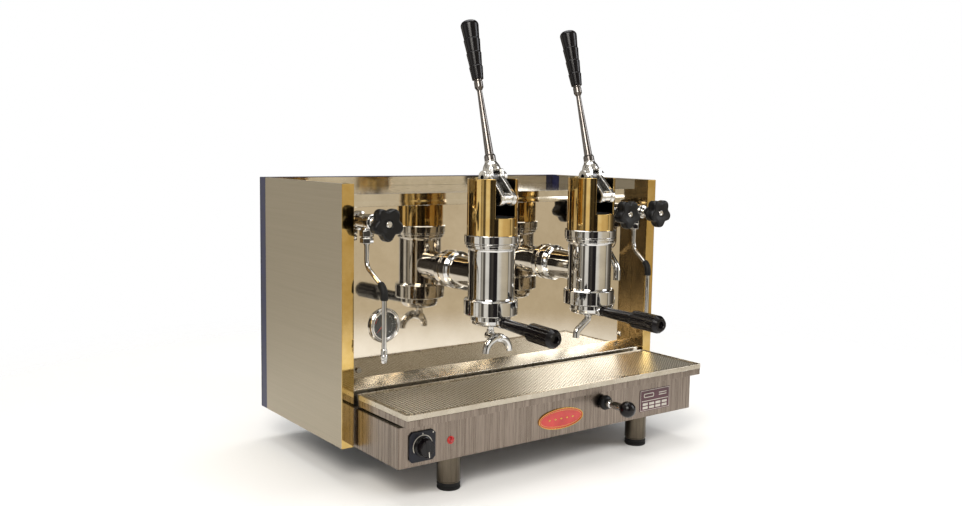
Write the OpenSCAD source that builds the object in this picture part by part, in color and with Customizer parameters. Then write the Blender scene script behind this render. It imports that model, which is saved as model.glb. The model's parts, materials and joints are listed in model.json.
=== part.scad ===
// Two-group spring-lever espresso machine, built as separate pieces.
// Frame: origin on the ground under the centre of the overall box, +Z up, front towards -Y.
// Inside each module depths are counted from the front face of the case (see at_face).

/* [Case] */
// Width over the two side panels
case_w = 700; // [660:5:800]
// Depth of the case from its front trims to its rear cover
case_d = 316; // [300:2:380]
// Height of the case underside above the ground
case_lift = 60; // [56:1:80]
// Height of the case from its underside to the top edge of its side panels
case_h = 426; // [424:1:450]
// Thickness of the sheet metal
sheet = 1.5; // [1:0.1:2]
// Width of the hem along the top of each side panel
hem_w = 8.5; // [6:0.5:14]
// Depth of the folded rear cover
rear_d = 8; // [6:0.5:14]
// Width of the brass front trims
trim_w = 21.5; // [16:0.5:28]

/* [Front panels] */
// Setback of the splash panel behind the front face of the case
splash_in = 37; // [34:0.5:40]
// Height of the lower edge of the splash panel above the ground
splash_z = 163; // [161:0.5:166]
// Height of the cup tray floor above the ground
cup_z = 467; // [463:0.5:470]
// Height of the front rail of the cup tray
rail_h = 20; // [14:1:24]
// Setback of the lower apron behind the front face of the case
apron_in = 8; // [6:0.5:12]
// Drop of the sloping ledge from the splash panel to the apron
ledge_drop = 11.5; // [8:0.5:12]
// Diameter of the drain holes in the cup tray
cup_hole_d = 8; // [5:0.5:12]

/* [Drip box] */
// Distance of each end of the drip box from the side of the case
box_in = 26; // [22:1:40]
// Depth of the drip box in front of the case
box_d = 130; // [124:1:150]
// Height of the underside of the drip box above the ground
box_z = 58; // [54:1:60]
// Height of the drip box
box_h = 65; // [64:1:66]
// Width of the flange folded in along the top of the drip box
box_flange = 12; // [9:0.5:14]
// Depth of the drip pan below its rim
pan_h = 23; // [16:1:25]
// Depth of the drip grate from front to back
grate_d = 152; // [146:1:168]
// Height of the rim of the drip grate
grate_h = 20; // [14:1:20]
// Height of the top of the drip grate above the ground
grate_z = 148; // [147:0.5:150]
// Width of one slot of the drip grate
slot_w = 5; // [3:0.5:7]
// Distance between neighbouring slots of the drip grate
slot_pitch = 13; // [10:0.5:20]
// Diameter of the drain spigot
drain_d = 20; // [14:1:24]

/* [Front controls] */
// Side of the square switch plate
switch_s = 48; // [40:1:56]
// Diameter of the switch knob
switch_knob_d = 32; // [24:1:38]
// Diameter of the pilot lamp lens
lamp_d = 13; // [9:0.5:18]
// Width of the oval badge plate
badge_w = 100; // [60:2:120]
// Height of the oval badge plate
badge_h = 36; // [24:1:44]
// Width of the data plate
data_w = 78; // [50:1:90]
// Height of the data plate
data_h = 40; // [24:1:44]
// Diameter of the fill valve spindle
fill_d = 14; // [10:0.5:16]
// Diameter of the ball knob on the fill valve
fill_ball_d = 28; // [18:0.5:30]

/* [Feet] */
// Diameter of the legs
leg_d = 39; // [28:1:44]
// Distance between the left and right legs
leg_gap = 422; // [360:2:500]
// Distance of the rear legs behind the front face of the case
leg_back = 236; // [180:2:260]
// Height of the rubber foot pads
pad_h = 12; // [8:0.5:18]

/* [Groups] */
// Distance between the axes of the two groups
group_gap = 220; // [200:2:240]
// Distance of the group axes in front of the case
group_out = 72.5; // [70:0.5:80]
// Outer diameter of the group cylinder
barrel_d = 78; // [74:0.5:80]
// Bore of the group cylinder
bore_d = 62; // [54:0.5:64]
// Outer diameter of the bell that holds the portafilter
bell_d = 91; // [89:0.5:96]
// Height of the bell
bell_h = 26; // [25:0.5:32]
// Height of the lower edge of the bell above the ground
bell_z = 270; // [266:1:276]
// Height of the seam between the group cylinder and its ring nut above the ground
nut_z = 386; // [382:1:390]
// Outer diameter of the ring nut
nut_d = 92; // [90:0.5:98]
// Height of the ring nut
nut_h = 17; // [12:0.5:20]
// Diameter of the neck that joins a group to the boiler
neck_d = 52; // [40:1:54]
// Diameter of the flange at the back of the neck
flange_d = 66; // [64:1:72]
// Thickness of the flange at the back of the neck
flange_t = 16; // [8:0.5:18]
// Height of the neck axis above the ground
neck_z = 333; // [328:1:338]

/* [Spring sleeves] */
// Outer diameter of the brass sleeve
sleeve_d = 84; // [83:0.5:86]
// Wall of the brass sleeve
sleeve_wall = 2.6; // [2:0.1:3]
// Height of the top edge of the sleeve above the ground
sleeve_top_z = 495; // [492:1:497]
// Height of the bottom of the lever slot above the ground
slot_z = 432; // [428:0.5:436]
// Half of the angle of the lever slot
slot_half_angle = 31; // [28:1:50]
// Diameter of the spring wire
wire_d = 6; // [4:0.5:7]
// Mean diameter of the spring
spring_d = 50; // [44:0.5:52]

/* [Levers] */
// Height of the lever pivot above the ground
pivot_z = 497; // [497:0.5:500]
// Angle of the resting lever behind the vertical
lean = 16; // [10:0.5:18]
// Distance from the pivot to the top of the grip
lever_reach = 269; // [240:1:300]
// Length of the grip
grip_len = 102; // [80:1:120]
// Largest diameter of the grip
grip_d = 30.5; // [22:0.5:34]
// Diameter of the lever rod where it leaves its collar
rod_d = 14.5; // [12:0.5:16]
// Diameter of the lever rod below the grip
rod_tip_d = 7; // [6:0.5:10]
// Distance from the pivot to the front end of the fork
fork_arm = 48; // [40:0.5:48]
// Angle of the fork below the horizontal
fork_angle = 44; // [40:1:45]
// Gap between the two cheeks of the fork
fork_gap = 14; // [10:0.5:16]
// Thickness of one cheek of the fork
fork_cheek = 8; // [6:0.5:9]
// Diameter of the rollers on the pivot pin
roller_d = 22; // [18:0.5:24]
// Diameter of the pivot pin
pivot_pin_d = 10; // [8:0.5:11]

/* [Portafilters] */
// Outer diameter of the bowl of the portafilter
bowl_d = 68; // [62:0.5:70]
// Height of the underside of the bowl above the ground
bowl_z = 252; // [248:0.5:256]
// Length of the handle from the bowl axis to its end
handle_reach = 190.5; // [170:0.5:210]
// Length of the thick part of the handle
handle_thick_len = 64; // [54:1:80]
// Diameter of the thick part of the handle
handle_d = 30; // [24:0.5:34]
// Diameter of the thin part of the handle
handle_neck_d = 21; // [16:0.5:24]
// Height of the handle axis above the ground
handle_z = 260.5; // [259:0.5:260.5]
// Height of the spout tips above the ground
spout_z = 209; // [206:0.5:214]
// Distance between the two outlets of the double spout
spout_gap = 48; // [44:1:52]
// Diameter of the spout tubes
spout_d = 12; // [9:0.5:14]

/* [Valves and gauges] */
// Distance of the left steam valve from the left side of the case
steam_left_in = 50; // [48:1:58]
// Distance of the right steam valve from the right side of the case
steam_right_in = 46; // [44:1:54]
// Distance of the hot water valve from the right side of the case
water_in = 128; // [122:1:134]
// Height of the valve spindles above the ground
valve_z = 423; // [418:1:428]
// Largest diameter of the star knobs
star_d = 55; // [44:1:58]
// Thickness of the star knobs
star_t = 20; // [14:1:24]
// Distance of the front of the star knobs in front of the case
star_out = 62; // [56:0.5:68]
// Outer diameter of the steam tubes
wand_d = 8; // [6:0.5:10]
// Height of the steam nozzle tips above the ground
wand_tip_z = 203; // [200:1:220]
// Outer diameter of the rubber sleeve on the steam tubes
wand_grip_d = 12.5; // [11:0.5:16]
// Outer diameter of the hot water spout
water_d = 14; // [10:0.5:16]
// Distance of each gauge from the side of the case
gauge_in = 99; // [96:1:103]
// Height of the gauge centres above the ground
gauge_z = 247; // [240:1:262]
// Outer diameter of the gauge bezels
gauge_d = 59; // [48:1:60]

/* [Boiler] */
// Outer diameter of the boiler
boiler_d = 170; // [150:2:180]
// Length of the boiler shell
boiler_len = 480; // [420:5:520]
// Distance of the boiler axis in front of the back of the case
boiler_back = 140; // [132:1:156]
// Wall of the boiler
boiler_wall = 3; // [2:0.5:4]
// Drop of the boiler axis below the necks of the groups
boiler_drop = 15; // [12:1:18]

/* [Hidden] */
$fn = 48;

// Extra reach of a cutting tool past the face it cuts
cut = 1;
// Gap between a moving piece and the piece that it rests on or passes
gap = 0.3;
// Radial clearance of a running fit
run_fit = 0.05;
// Radial clearance of a fixed piece in its hole
fixed_fit = 0.25;

// Case
face_y = (group_out + handle_reach - case_d) / 2;
half_w = case_w / 2;
case_top = case_lift + case_h;
panel_back = case_d - rear_d;
inner_x = half_w - sheet;
trim_inner_x = half_w - trim_w;
post_s = 18;
floor_t = 2;
frame_lip = 25;
rail_in = splash_in - 4;

// Drip box, pan and grate
box_w = case_w - 2 * box_in;
box_top = box_z + box_h;
pan_in = box_flange + 2;
pan_floor = box_top + sheet - pan_h;
grate_back = 3;
grate_front = grate_back + grate_d;
grate_bottom = grate_z - grate_h;
pan_top = grate_bottom - gap;
pan_front_under = 5;
pan_front_z = box_top - pan_front_under;
pan_deep = 36;
pan_slope = atan2(pan_front_z - pan_floor, pan_deep - pan_in);
slot_rows = 2;
slot_edge = 9;
rib_t = 3;
rib_count = 4;
drain_bore = drain_d - 4;
drain_len = 50;

// Controls on the front of the drip box
control_up = 31;
control_z = box_z + control_up;
switch_in = 42;
switch_x = switch_in - box_w / 2;
lamp_in = 96;
lamp_x = lamp_in - box_w / 2;
lamp_out = 4;
lamp_body_len = 24;
fill_x = 97;
fill_up = 45;
fill_z = box_z + fill_up;
data_in = 95;
data_x = box_w / 2 - data_in;
badge_up = 30;
badge_z = box_z + badge_up;
plate_t = 3;
switch_knob_t = 17;
spindle_d = 6;
switch_stem = 12;
switch_body = 38;
switch_body_len = 32;
switch_pin = 12;
switch_skirt_t = 5;
fill_collar_d = 26;
fill_collar_t = 14;
fill_body_d = 22;
fill_body_len = 12;
fill_body_h = 32;
fill_pin_d = fill_d - 4;
fill_flare = 10;
fill_out = 62;
badge_t = 2;
data_t = 1;

// Feet
leg_out = 101;
pad_inset = 0.5;

// Groups
group_x = group_gap / 2;
bell_top = bell_z + bell_h;
lip_t = 4;
lip_d = bowl_d + 2;
recess_d = 78;
recess_under = 6;
recess_top = bell_top - recess_under;
notch_a = 44;
ear_a = 36;
ear_t = 5;
ear_d = recess_d - 1;
rim_up = 15;
rim_z = bell_z + rim_up;
bowl_wall = 3;
basket_wall = 1;
basket_in = 22;
seal_t = recess_top - rim_z - basket_wall - gap;
seal_in_d = 59;
screen_t = 1.5;
collar_h = 8;
collar_d = 88;
sleeve_under = 5;
sleeve_z = nut_z - sleeve_under;
sleeve_r = sleeve_d / 2;
sleeve_in = sleeve_r - sleeve_wall;
web_t = 6;
neck_back = splash_in;
piston_z = bell_top + 1;
piston_h = 28;
piston_d = bore_d - 2 * gap;
piston_rod_d = 12;
spring_turns = 7;
spring_steps = 14;
wire_sides = 8;
spring_low = piston_z + piston_h;
spring_high = slot_z - web_t;

// Levers
collar_low = 18;
collar_len = 20;
lever_collar_d = 19;
ferrule_len = 19;
ferrule_d = 15;
fork_r = 11.5;
hub_r = 10;
neck_half = 13;
neck_foot = 2;
fork_w = fork_gap + 2 * fork_cheek;
roller_t = 7;
eye_t = fork_gap - 1;
eye_d = 2 * hub_r - 2;
grip_low = lever_reach - grip_len;

// Portafilters
neck_len = 41;
stem_z = bowl_z - 6;

// Valves and gauges
steam_left_x = steam_left_in - half_w;
steam_right_x = half_w - steam_right_in;
water_x = half_w - water_in;
gauge_x = half_w - gauge_in;
valve_d = 26;
outlet_in = 10;
nut_hex_d = 24;
nut_hex_z = 390;
nut_hex_h = 21;
star_hub_d = 22;
star_cap_d = 13;
star_cap_in = 5;
packing_len = 10;
stem_in = 30;
star_lobes = 5;
star_wave = 3.4;
stem_d = 9;
gauge_body_d = gauge_d - 10;
gauge_out = 7;
gauge_body_len = 30;
bezel_w = 8;
dial_t = 1;
dial_in = 4;
needle_hub_d = 5;
needle_hub_t = 1.5;
needle_pin_d = 2;
needle_w = 1.2;
needle_rest = 225;
lens_t = 1.2;

// Boiler
boiler_z = neck_z - boiler_drop;
boiler_in = case_d - boiler_back;
stub_d = 40;
end_flange_d = 24;
end_flange_t = 8;
end_screws = 10;
end_screw_d = 6;
element_d = 9;

// Bent tubes
arc_steps = 5;
tube_sides = 16;

// Places and small sizes of single pieces
gauge_sides = [-1, 1];
inlet_in = 150;
inlet_x = half_w - inlet_in;
inlet_d = 16.6;
inlet_bore = 11;
inlet_len = 16;
inlet_rim_d = 24;
inlet_rim_h = 3;
inlet_neck_d = 14;
inlet_above = 12;
union_hex_d = 25;
union_hex_h = 10;
safety_d = 18;
safety_h = 14;
gland_d = 16;
gland_nut_d = 22;
gland_bore = 9;
gland_out = 8;
gland_in = 5;
pipe_back = 36;
pipe_in = case_d - pipe_back;
pipe_d = 8;
elbow_d = 14;
vent_count = 8;
vent_low = 70;
vent_pitch = 14;
vent_len = 300;
vent_w = 5;
cup_holes = 5;
cup_hole_rows = 4;
cup_hole_pitch = 55;
cup_hole_in = 80;
valve_places = [steam_left_x, steam_right_x, water_x];
splash_bolt_in = 50;
splash_bolt_x = half_w - splash_bolt_in;
splash_bolt_z = 176;
screw_d = 5;
screw_head_d = 10;
screw_head_t = 4;
screw_len = 14;
pan_drain = 30;
hose_room = 12;
rib_slots = 13;
element_flange_d = 60;
element_hex_t = 6;
element_len = 300;
element_gap = 26;
fill_pipe_z = 340;
pipe_bend = 16;
steam_tap = 40;
water_tap = 75;
tap_back = 20;
tap_d = 16;
tap_h = 7;
valve_tail = 20;
valve_front = 14;
wand_fit = 2 * run_fit;
wand_top = nut_hex_z + nut_hex_h - 2;
nozzle_y = -46;
wand_path = [[outlet_in, wand_top - 2], [outlet_in, 352], [nozzle_y, 322], [nozzle_y, wand_tip_z + 4]];
wand_slope = (wand_path[1] - wand_path[2]) / norm(wand_path[1] - wand_path[2]);
right_wand_angle = -15;
grip_up = 16;
grip_down = 18;
nozzle_d = 11;
nozzle_len = 24;
spigot_wall = 2;
spigot_low = nut_hex_z - 3;
wand_bend = 16;
water_bend = 18;
water_path = [[outlet_in, wand_top - 2], [outlet_in, 366], [-29, 322], [-29, 298]];
unlock_a = 50;
eye_clear = 12;
grip_segments = 4;
grip_step = 1.2;
grip_groove = 0.5;
grip_low_d = 21;
grip_round = 8;
grip_seg_len = (grip_len - grip_round) / grip_segments;
bowl_round = 8;
socket_d = 14;
handle_root_d = 17;
handle_cone = 6;
handle_chamfer = 7;
handle_end_d = 20;
handle_hole_d = 12;
handle_hole = 6;
handle_groove = 1;
left_handle_angle = -6;
right_handle_angle = -4;
arch_out = 20;
arch_front = 8;
outlet_left = 27;
outlet_bend_z = 222;
outlet_bend = 11;

// ---- Shared helpers ------------------------------------------------------

module at_face() {
    translate([0, face_y, 0])
        children();
}

module at_group(side) {
    translate([side * group_x, face_y - group_out, 0])
        children();
}

// A portafilter is locked with its handle turned a little to the left
module at_portafilter(side) {
    at_group(side)
        rotate([0, 0, side < 0 ? left_handle_angle : right_handle_angle])
            children();
}

// Cylinder along Y that starts at depth y and runs backwards by len
module rod_y(d, y, len) {
    translate([0, y, 0])
        rotate([-90, 0, 0])
            cylinder(d = d, h = len);
}

// Cylinder along X centred on the origin
module rod_x(d, len) {
    rotate([0, 90, 0])
        cylinder(d = d, h = len, center = true);
}

module ring(outer, inner, h) {
    difference() {
        cylinder(d = outer, h = h);
        translate([0, 0, -cut])
            cylinder(d = inner, h = h + 2 * cut);
    }
}

// Box from its two opposite corners
module span(low, high) {
    translate(low)
        cube(high - low);
}

// Direction of the line from point a to point b
function heading(a, b) = atan2(b[1] - a[1], b[0] - a[0]);

// Turn from one heading to the next, between -180 and 180
function turn_at(p, i) =
    let (t = heading(p[i], p[i + 1]) - heading(p[i - 1], p[i]))
    t > 180 ? t - 360 : (t < -180 ? t + 360 : t);

// Length of straight tube that a bend of radius r takes up on each side of its corner
function bend_take(p, i, r) =
    (i == 0 || i == len(p) - 1) ? 0 : r * tan(abs(turn_at(p, i)) / 2);

// Stations [x, y, heading] along the corners p, with arc_steps per bend of radius r
function stations(p, r) = concat(
    [[p[0][0], p[0][1], heading(p[0], p[1])]],
    [for (i = [1 : len(p) - 2], k = [0 : arc_steps]) bend_station(p, i, r, k / arc_steps)],
    [[p[len(p) - 1][0], p[len(p) - 1][1], heading(p[len(p) - 2], p[len(p) - 1])]]
);

function bend_station(p, i, r, share) =
    let (
        from = heading(p[i - 1], p[i]),
        turn = turn_at(p, i),
        side = turn > 0 ? 1 : -1,
        start = p[i] - bend_take(p, i, r) * [cos(from), sin(from)],
        middle = start + side * r * [-sin(from), cos(from)],
        now = from + share * turn
    )
    [middle[0] + side * r * sin(now), middle[1] - side * r * cos(now), now];

// Faces of a tube whose rings follow one another, with its two flat ends
function tube_faces(rings, sides) = concat(
    [for (i = [0 : rings - 2], j = [0 : sides - 1])
        let (next = (j + 1) % sides)
        [i * sides + j, (i + 1) * sides + j, (i + 1) * sides + next, i * sides + next]],
    [[for (j = [0 : sides - 1]) j]],
    [[for (j = [sides - 1 : -1 : 0]) (rings - 1) * sides + j]]
);

// Round tube in the XY plane through the corners p, each with a bend of radius r
module tube_xy(p, d, r) {
    path = stations(p, r);
    points = [
        for (s = path, j = [0 : tube_sides - 1])
            let (
                a = j * 360 / tube_sides,
                out = d / 2 * cos(a)
            )
            [s[0] - out * sin(s[2]), s[1] + out * cos(s[2]), d / 2 * sin(a)]
    ];
    polyhedron(points, tube_faces(len(path), tube_sides));
}

// The same tube through [y, z] corners in the plane x = 0
module tube_yz(p, d, r) {
    rotate([90, 0, 90])
        tube_xy(p, d, r);
}

// ---- Case ----------------------------------------------------------------

module base_frame() color("dimgray") at_face() {
    difference() {
        span([-inner_x, apron_in + sheet, case_lift], [inner_x, panel_back, case_lift + frame_lip]);
        span([-inner_x + floor_t, apron_in + sheet + floor_t, case_lift + floor_t],
            [inner_x - floor_t, panel_back - floor_t, case_lift + frame_lip + cut]);
        for (side = [0, 1])
            mirror([side, 0, 0])
                span([trim_inner_x - fixed_fit, 0, case_lift - cut],
                    [half_w, splash_in + fixed_fit, case_lift + frame_lip + cut]);
        for (x = [-1, 1])
            translate([x * leg_gap / 2, leg_back, case_lift - cut])
                cylinder(d = 8, h = floor_t + 2 * cut);
        translate([inlet_x, pipe_in, case_lift - cut])
            cylinder(d = inlet_neck_d + 2 * fixed_fit, h = floor_t + 2 * cut);
        translate([-inlet_x, pipe_in, case_lift - cut])
            cylinder(d = gland_d, h = floor_t + 2 * cut);
    }
    for (x = [-1, 1], y = [splash_in + sheet + post_s / 2, panel_back - floor_t - post_s / 2])
        frame_post(x * (inner_x - floor_t - post_s / 2), y);
    for (x = [-1, 1])
        boiler_cradle(x * boiler_len / 3);
}

// Square tube post between the floor of the frame and the cup tray
module frame_post(x, y) {
    translate([x, y, case_lift + floor_t])
        linear_extrude(cup_z - sheet - case_lift - floor_t)
            difference() {
                square(post_s, center = true);
                square(post_s - 2 * floor_t, center = true);
            }
}

module boiler_cradle(x) {
    cradle_w = boiler_d * 0.7;
    difference() {
        span([x - floor_t, boiler_in - cradle_w / 2, case_lift + floor_t],
            [x + floor_t, boiler_in + cradle_w / 2, boiler_z - boiler_d / 4]);
        translate([x, boiler_in, boiler_z])
            rod_x(boiler_d + 2 * fixed_fit, 4 * floor_t);
    }
}

module side_panel(side) color("silver") at_face() {
    mirror([side < 0 ? 0 : 1, 0, 0]) {
        span([-half_w, sheet, case_lift], [-inner_x, panel_back, case_top]);
        span([-inner_x, sheet, case_lift], [-half_w + hem_w, 2 * sheet, case_top]);
        span([-inner_x, 2 * sheet, case_top - sheet], [-half_w + hem_w, panel_back, case_top]);
    }
}

module left_side_panel() side_panel(-1);
module right_side_panel() side_panel(1);

module brass_trims() color("goldenrod") at_face()
    for (side = [0, 1])
        mirror([side, 0, 0]) {
            span([-half_w, 0, case_lift], [-trim_inner_x, sheet, case_top]);
            span([-trim_inner_x - sheet, sheet, case_lift], [-trim_inner_x, splash_in, case_top]);
        }

module rear_cover() color("midnightblue") at_face()
    difference() {
        span([-half_w, panel_back, case_lift], [half_w, case_d, case_top]);
        span([-half_w + sheet, panel_back - cut, case_lift + sheet],
            [half_w - sheet, case_d - sheet, case_top - sheet]);
        for (i = [0 : vent_count - 1])
            translate([0, case_d, case_lift + vent_low + i * vent_pitch])
                span([-vent_len / 2, -2 * sheet, 0], [vent_len / 2, cut, vent_w]);
    }

module splash_panel() color("gainsboro") at_face()
    difference() {
        span([-inner_x + fixed_fit, splash_in, splash_z],
            [inner_x - fixed_fit, splash_in + sheet, cup_z - sheet - fixed_fit]);
        for (side = [-1, 1]) {
            translate([side * group_x, 0, neck_z])
                rod_y(stub_d + 2 * fixed_fit, splash_in - cut, sheet + 2 * cut);
            translate([side * gauge_x, 0, gauge_z])
                rod_y(gauge_body_d + 2 * fixed_fit, splash_in - cut, sheet + 2 * cut);
        }
        for (x = valve_places)
            translate([x, 0, valve_z])
                rod_y(valve_d - 6 + 2 * fixed_fit, splash_in - cut, sheet + 2 * cut);
        for (x = [-1, 1])
            translate([x * splash_bolt_x, 0, splash_bolt_z])
                rod_y(screw_d + 2 * fixed_fit, splash_in - cut, sheet + 2 * cut);
    }

module cup_tray() color("whitesmoke") at_face() {
    difference() {
        span([-inner_x + fixed_fit, rail_in, cup_z - sheet], [inner_x - fixed_fit, panel_back, cup_z]);
        for (side = [0, 1])
            mirror([side, 0, 0])
                span([-half_w, rail_in - cut, cup_z - 2 * sheet],
                    [-trim_inner_x + fixed_fit, splash_in + fixed_fit, cup_z + cut]);
        for (x = [-cup_holes : cup_holes], y = [0 : cup_hole_rows - 1])
            translate([x * cup_hole_pitch, cup_hole_in + y * cup_hole_pitch, cup_z - 2 * sheet])
                cylinder(d = cup_hole_d, h = 3 * sheet);
    }
    span([-trim_inner_x + fixed_fit, rail_in, cup_z - rail_h],
        [trim_inner_x - fixed_fit, rail_in + sheet, cup_z - sheet]);
}

// Sloping ledge under the splash panel with its lower apron
module splash_ledge() color("gainsboro") at_face()
    translate([-trim_inner_x + fixed_fit, 0, 0])
        rotate([90, 0, 90])
            linear_extrude(2 * (trim_inner_x - fixed_fit))
                polygon([
                    [apron_in, case_lift],
                    [apron_in + sheet, case_lift],
                    [apron_in + sheet, splash_z - ledge_drop - sheet / 2],
                    [splash_in + sheet, splash_z - sheet],
                    [splash_in + sheet, splash_z],
                    [splash_in - sheet, splash_z],
                    [apron_in, splash_z - ledge_drop]
                ]);

// ---- Drip box ------------------------------------------------------------

module drip_box() color("lightgray") at_face()
    difference() {
        span([-box_w / 2, -box_d, box_z], [box_w / 2, apron_in, box_top]);
        span([-box_w / 2 + sheet, -box_d + sheet, box_z + sheet],
            [box_w / 2 - sheet, apron_in - sheet, box_top - sheet]);
        span([-box_w / 2 + box_flange, -box_d + box_flange, box_top - 2 * sheet],
            [box_w / 2 - box_flange, -box_flange, box_top + cut]);
        translate([switch_x, 0, control_z])
            rod_y(switch_stem, -box_d - cut, sheet + 2 * cut);
        translate([lamp_x, 0, control_z])
            rod_y(lamp_d - 3, -box_d - cut, sheet + 2 * cut);
        translate([fill_x, 0, fill_z])
            rod_y(fill_d + 2, -box_d - cut, sheet + 2 * cut);
        translate([0, -pan_drain, box_z - cut])
            cylinder(d = drain_d + hose_room, h = sheet + 2 * cut);
    }

// Basin with a floor that rises at the front, over the backs of the controls
module drip_pan() color("darkgray") at_face() {
    pan_w = box_w - 2 * pan_in;
    difference() {
        pan_block(pan_w, 0, pan_top);
        pan_block(pan_w - 2 * sheet, sheet, pan_top + cut);
        translate([0, -pan_drain, pan_floor - cut])
            cylinder(d = drain_bore, h = sheet + 2 * cut);
    }
    difference() {
        span([-box_w / 2 + sheet, -box_d + sheet, box_top], [box_w / 2 - sheet, -sheet, box_top + sheet]);
        span([-box_w / 2 + pan_in, -box_d + pan_in, box_top - cut],
            [box_w / 2 - pan_in, -pan_in, box_top + sheet + cut]);
    }
    translate([0, -pan_drain, pan_floor - drain_len])
        ring(drain_d, drain_bore, drain_len);
}

// Block of width w under the height top, smaller than the basin by inset on every side
module pan_block(w, inset, top) {
    front = -box_d + pan_in + inset;
    back = -pan_in - inset;
    translate([-w / 2, 0, 0])
        rotate([90, 0, 90])
            linear_extrude(w)
                polygon([
                    [front, top],
                    [front, pan_front_z + inset / cos(pan_slope) - inset * tan(pan_slope)],
                    [-box_d + pan_deep + inset * tan(pan_slope / 2), pan_floor + inset],
                    [back, pan_floor + inset],
                    [back, top]
                ]);
}

module drip_grate() color("lightgray") at_face() {
    slot_span = (grate_d - 2 * slot_edge - slot_edge) / slot_rows;
    slot_count = 2 * floor((box_w - 2 * slot_edge - slot_w) / slot_pitch / 2);
    difference() {
        span([-box_w / 2, -grate_front, grate_bottom], [box_w / 2, -grate_back, grate_z]);
        span([-box_w / 2 + sheet, -grate_front + sheet, grate_bottom - cut],
            [box_w / 2 - sheet, -grate_back - sheet, grate_z - 2 * sheet]);
        span([-box_w / 2 + sheet, -grate_front + sheet, grate_z - sheet],
            [box_w / 2 - sheet, -grate_back - sheet, grate_z + cut]);
        for (i = [-slot_count / 2 : slot_count / 2], row = [0 : slot_rows - 1])
            translate([i * slot_pitch, -grate_front + slot_edge + row * (slot_span + slot_edge), 0])
                span([-slot_w / 2, 0, grate_z - 3 * sheet], [slot_w / 2, slot_span, grate_z]);
    }
    for (i = [0 : rib_count - 1])
        translate([(i - (rib_count - 1) / 2) * rib_slots * slot_pitch, 0, 0])
            span([-rib_t / 2, -grate_front + sheet, grate_bottom],
                [rib_t / 2, -grate_back - sheet, grate_z - 2 * sheet]);
}

// ---- Front controls ------------------------------------------------------

module oval(w, h, t) {
    steps = 48;
    linear_extrude(t)
        polygon([for (i = [0 : steps - 1]) [w / 2 * cos(i * 360 / steps), h / 2 * sin(i * 360 / steps)]]);
}

module badge_plate() color("firebrick") at_face()
    translate([0, -box_d, badge_z])
        rotate([90, 0, 0]) {
            oval(badge_w, badge_h, badge_t / 2);
            translate([0, 0, badge_t / 2])
                difference() {
                    oval(badge_w, badge_h, badge_t / 2);
                    oval(badge_w - 4, badge_h - 4, badge_t);
                }
        }

module data_plate() color("maroon") at_face()
    span([data_x - data_w / 2, -box_d - data_t, control_z - data_h / 2],
        [data_x + data_w / 2, -box_d, control_z + data_h / 2]);

module switch_plate() color("dimgray") at_face() {
    difference() {
        span([switch_x - switch_s / 2, -box_d - plate_t, control_z - switch_s / 2],
            [switch_x + switch_s / 2, -box_d, control_z + switch_s / 2]);
        translate([switch_x, 0, control_z])
            rod_y(switch_stem, -box_d - plate_t - cut, plate_t + 2 * cut);
    }
    difference() {
        span([switch_x - switch_body / 2, -box_d + sheet, control_z - switch_body / 2],
            [switch_x + switch_body / 2, -box_d + sheet + switch_body_len, control_z + switch_stem]);
        translate([switch_x, 0, control_z])
            rod_y(spindle_d + 2 * run_fit, -box_d + sheet - cut, switch_body_len / 2);
    }
}

module switch_knob() color("black") at_face()
    translate([switch_x, -box_d - plate_t - gap, control_z])
        rotate([90, 0, 0]) {
            cylinder(d = switch_knob_d, h = switch_skirt_t);
            cylinder(d1 = switch_knob_d - 4, d2 = switch_knob_d - 7, h = switch_knob_t, $fn = 36);
            translate([0, 0, -plate_t - sheet - switch_pin])
                cylinder(d = spindle_d, h = plate_t + sheet + switch_pin + switch_skirt_t);
        }

module pilot_lamp() color("red") at_face()
    translate([lamp_x, 0, control_z]) {
        rod_y(lamp_d - 4, -box_d - cut, lamp_body_len);
        translate([0, -box_d, 0])
            rotate([90, 0, 0])
                cylinder(d1 = lamp_d, d2 = lamp_d - 5, h = lamp_out, $fn = 36);
    }

module fill_valve() color("black") at_face()
    translate([fill_x, 0, fill_z]) {
        difference() {
            union() {
                rod_y(fill_collar_d, -box_d - fill_collar_t, fill_collar_t);
                rod_y(fill_d, -box_d - cut, 3);
                rod_y(fill_body_d, -box_d + sheet, fill_body_len);
                span([-fill_body_d / 2, -box_d + sheet, -fill_body_h],
                    [fill_body_d / 2, -box_d + sheet + 2 * fill_body_len, -fill_body_len / 2]);
            }
            rod_y(fill_pin_d + 2 * run_fit, -box_d - fill_collar_t - cut,
                fill_collar_t + fill_body_len - sheet);
        }
    }

module fill_knob() color("black") at_face()
    translate([fill_x, 0, fill_z]) {
        rod_y(fill_pin_d, -box_d - fill_out, fill_out + fill_body_len / 2);
        rod_y(fill_d, -box_d - fill_out, fill_out - fill_collar_t - gap);
        translate([0, -box_d - fill_out, 0])
            sphere(d = fill_ball_d);
        rod_y(fill_d + 4, -box_d - fill_out + fill_ball_d / 2 - 3, fill_flare);
    }

// ---- Feet ----------------------------------------------------------------

module foot_places(front_only, rear_only) {
    for (x = [-1, 1]) {
        if (!rear_only)
            translate([x * leg_gap / 2, -leg_out, 0])
                children();
        if (!front_only)
            translate([x * leg_gap / 2, leg_back, 0])
                children();
    }
}

module foot_legs() color("silver") at_face() {
    foot_places(true, false)
        translate([0, 0, pad_h])
            cylinder(d = leg_d, h = box_z - pad_h);
    foot_places(false, true)
        translate([0, 0, pad_h])
            cylinder(d = leg_d, h = case_lift - pad_h);
}

module foot_pads() color("black") at_face()
    foot_places(false, false)
        cylinder(d = leg_d - 2 * pad_inset, h = pad_h);

// ---- Gauges --------------------------------------------------------------

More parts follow.
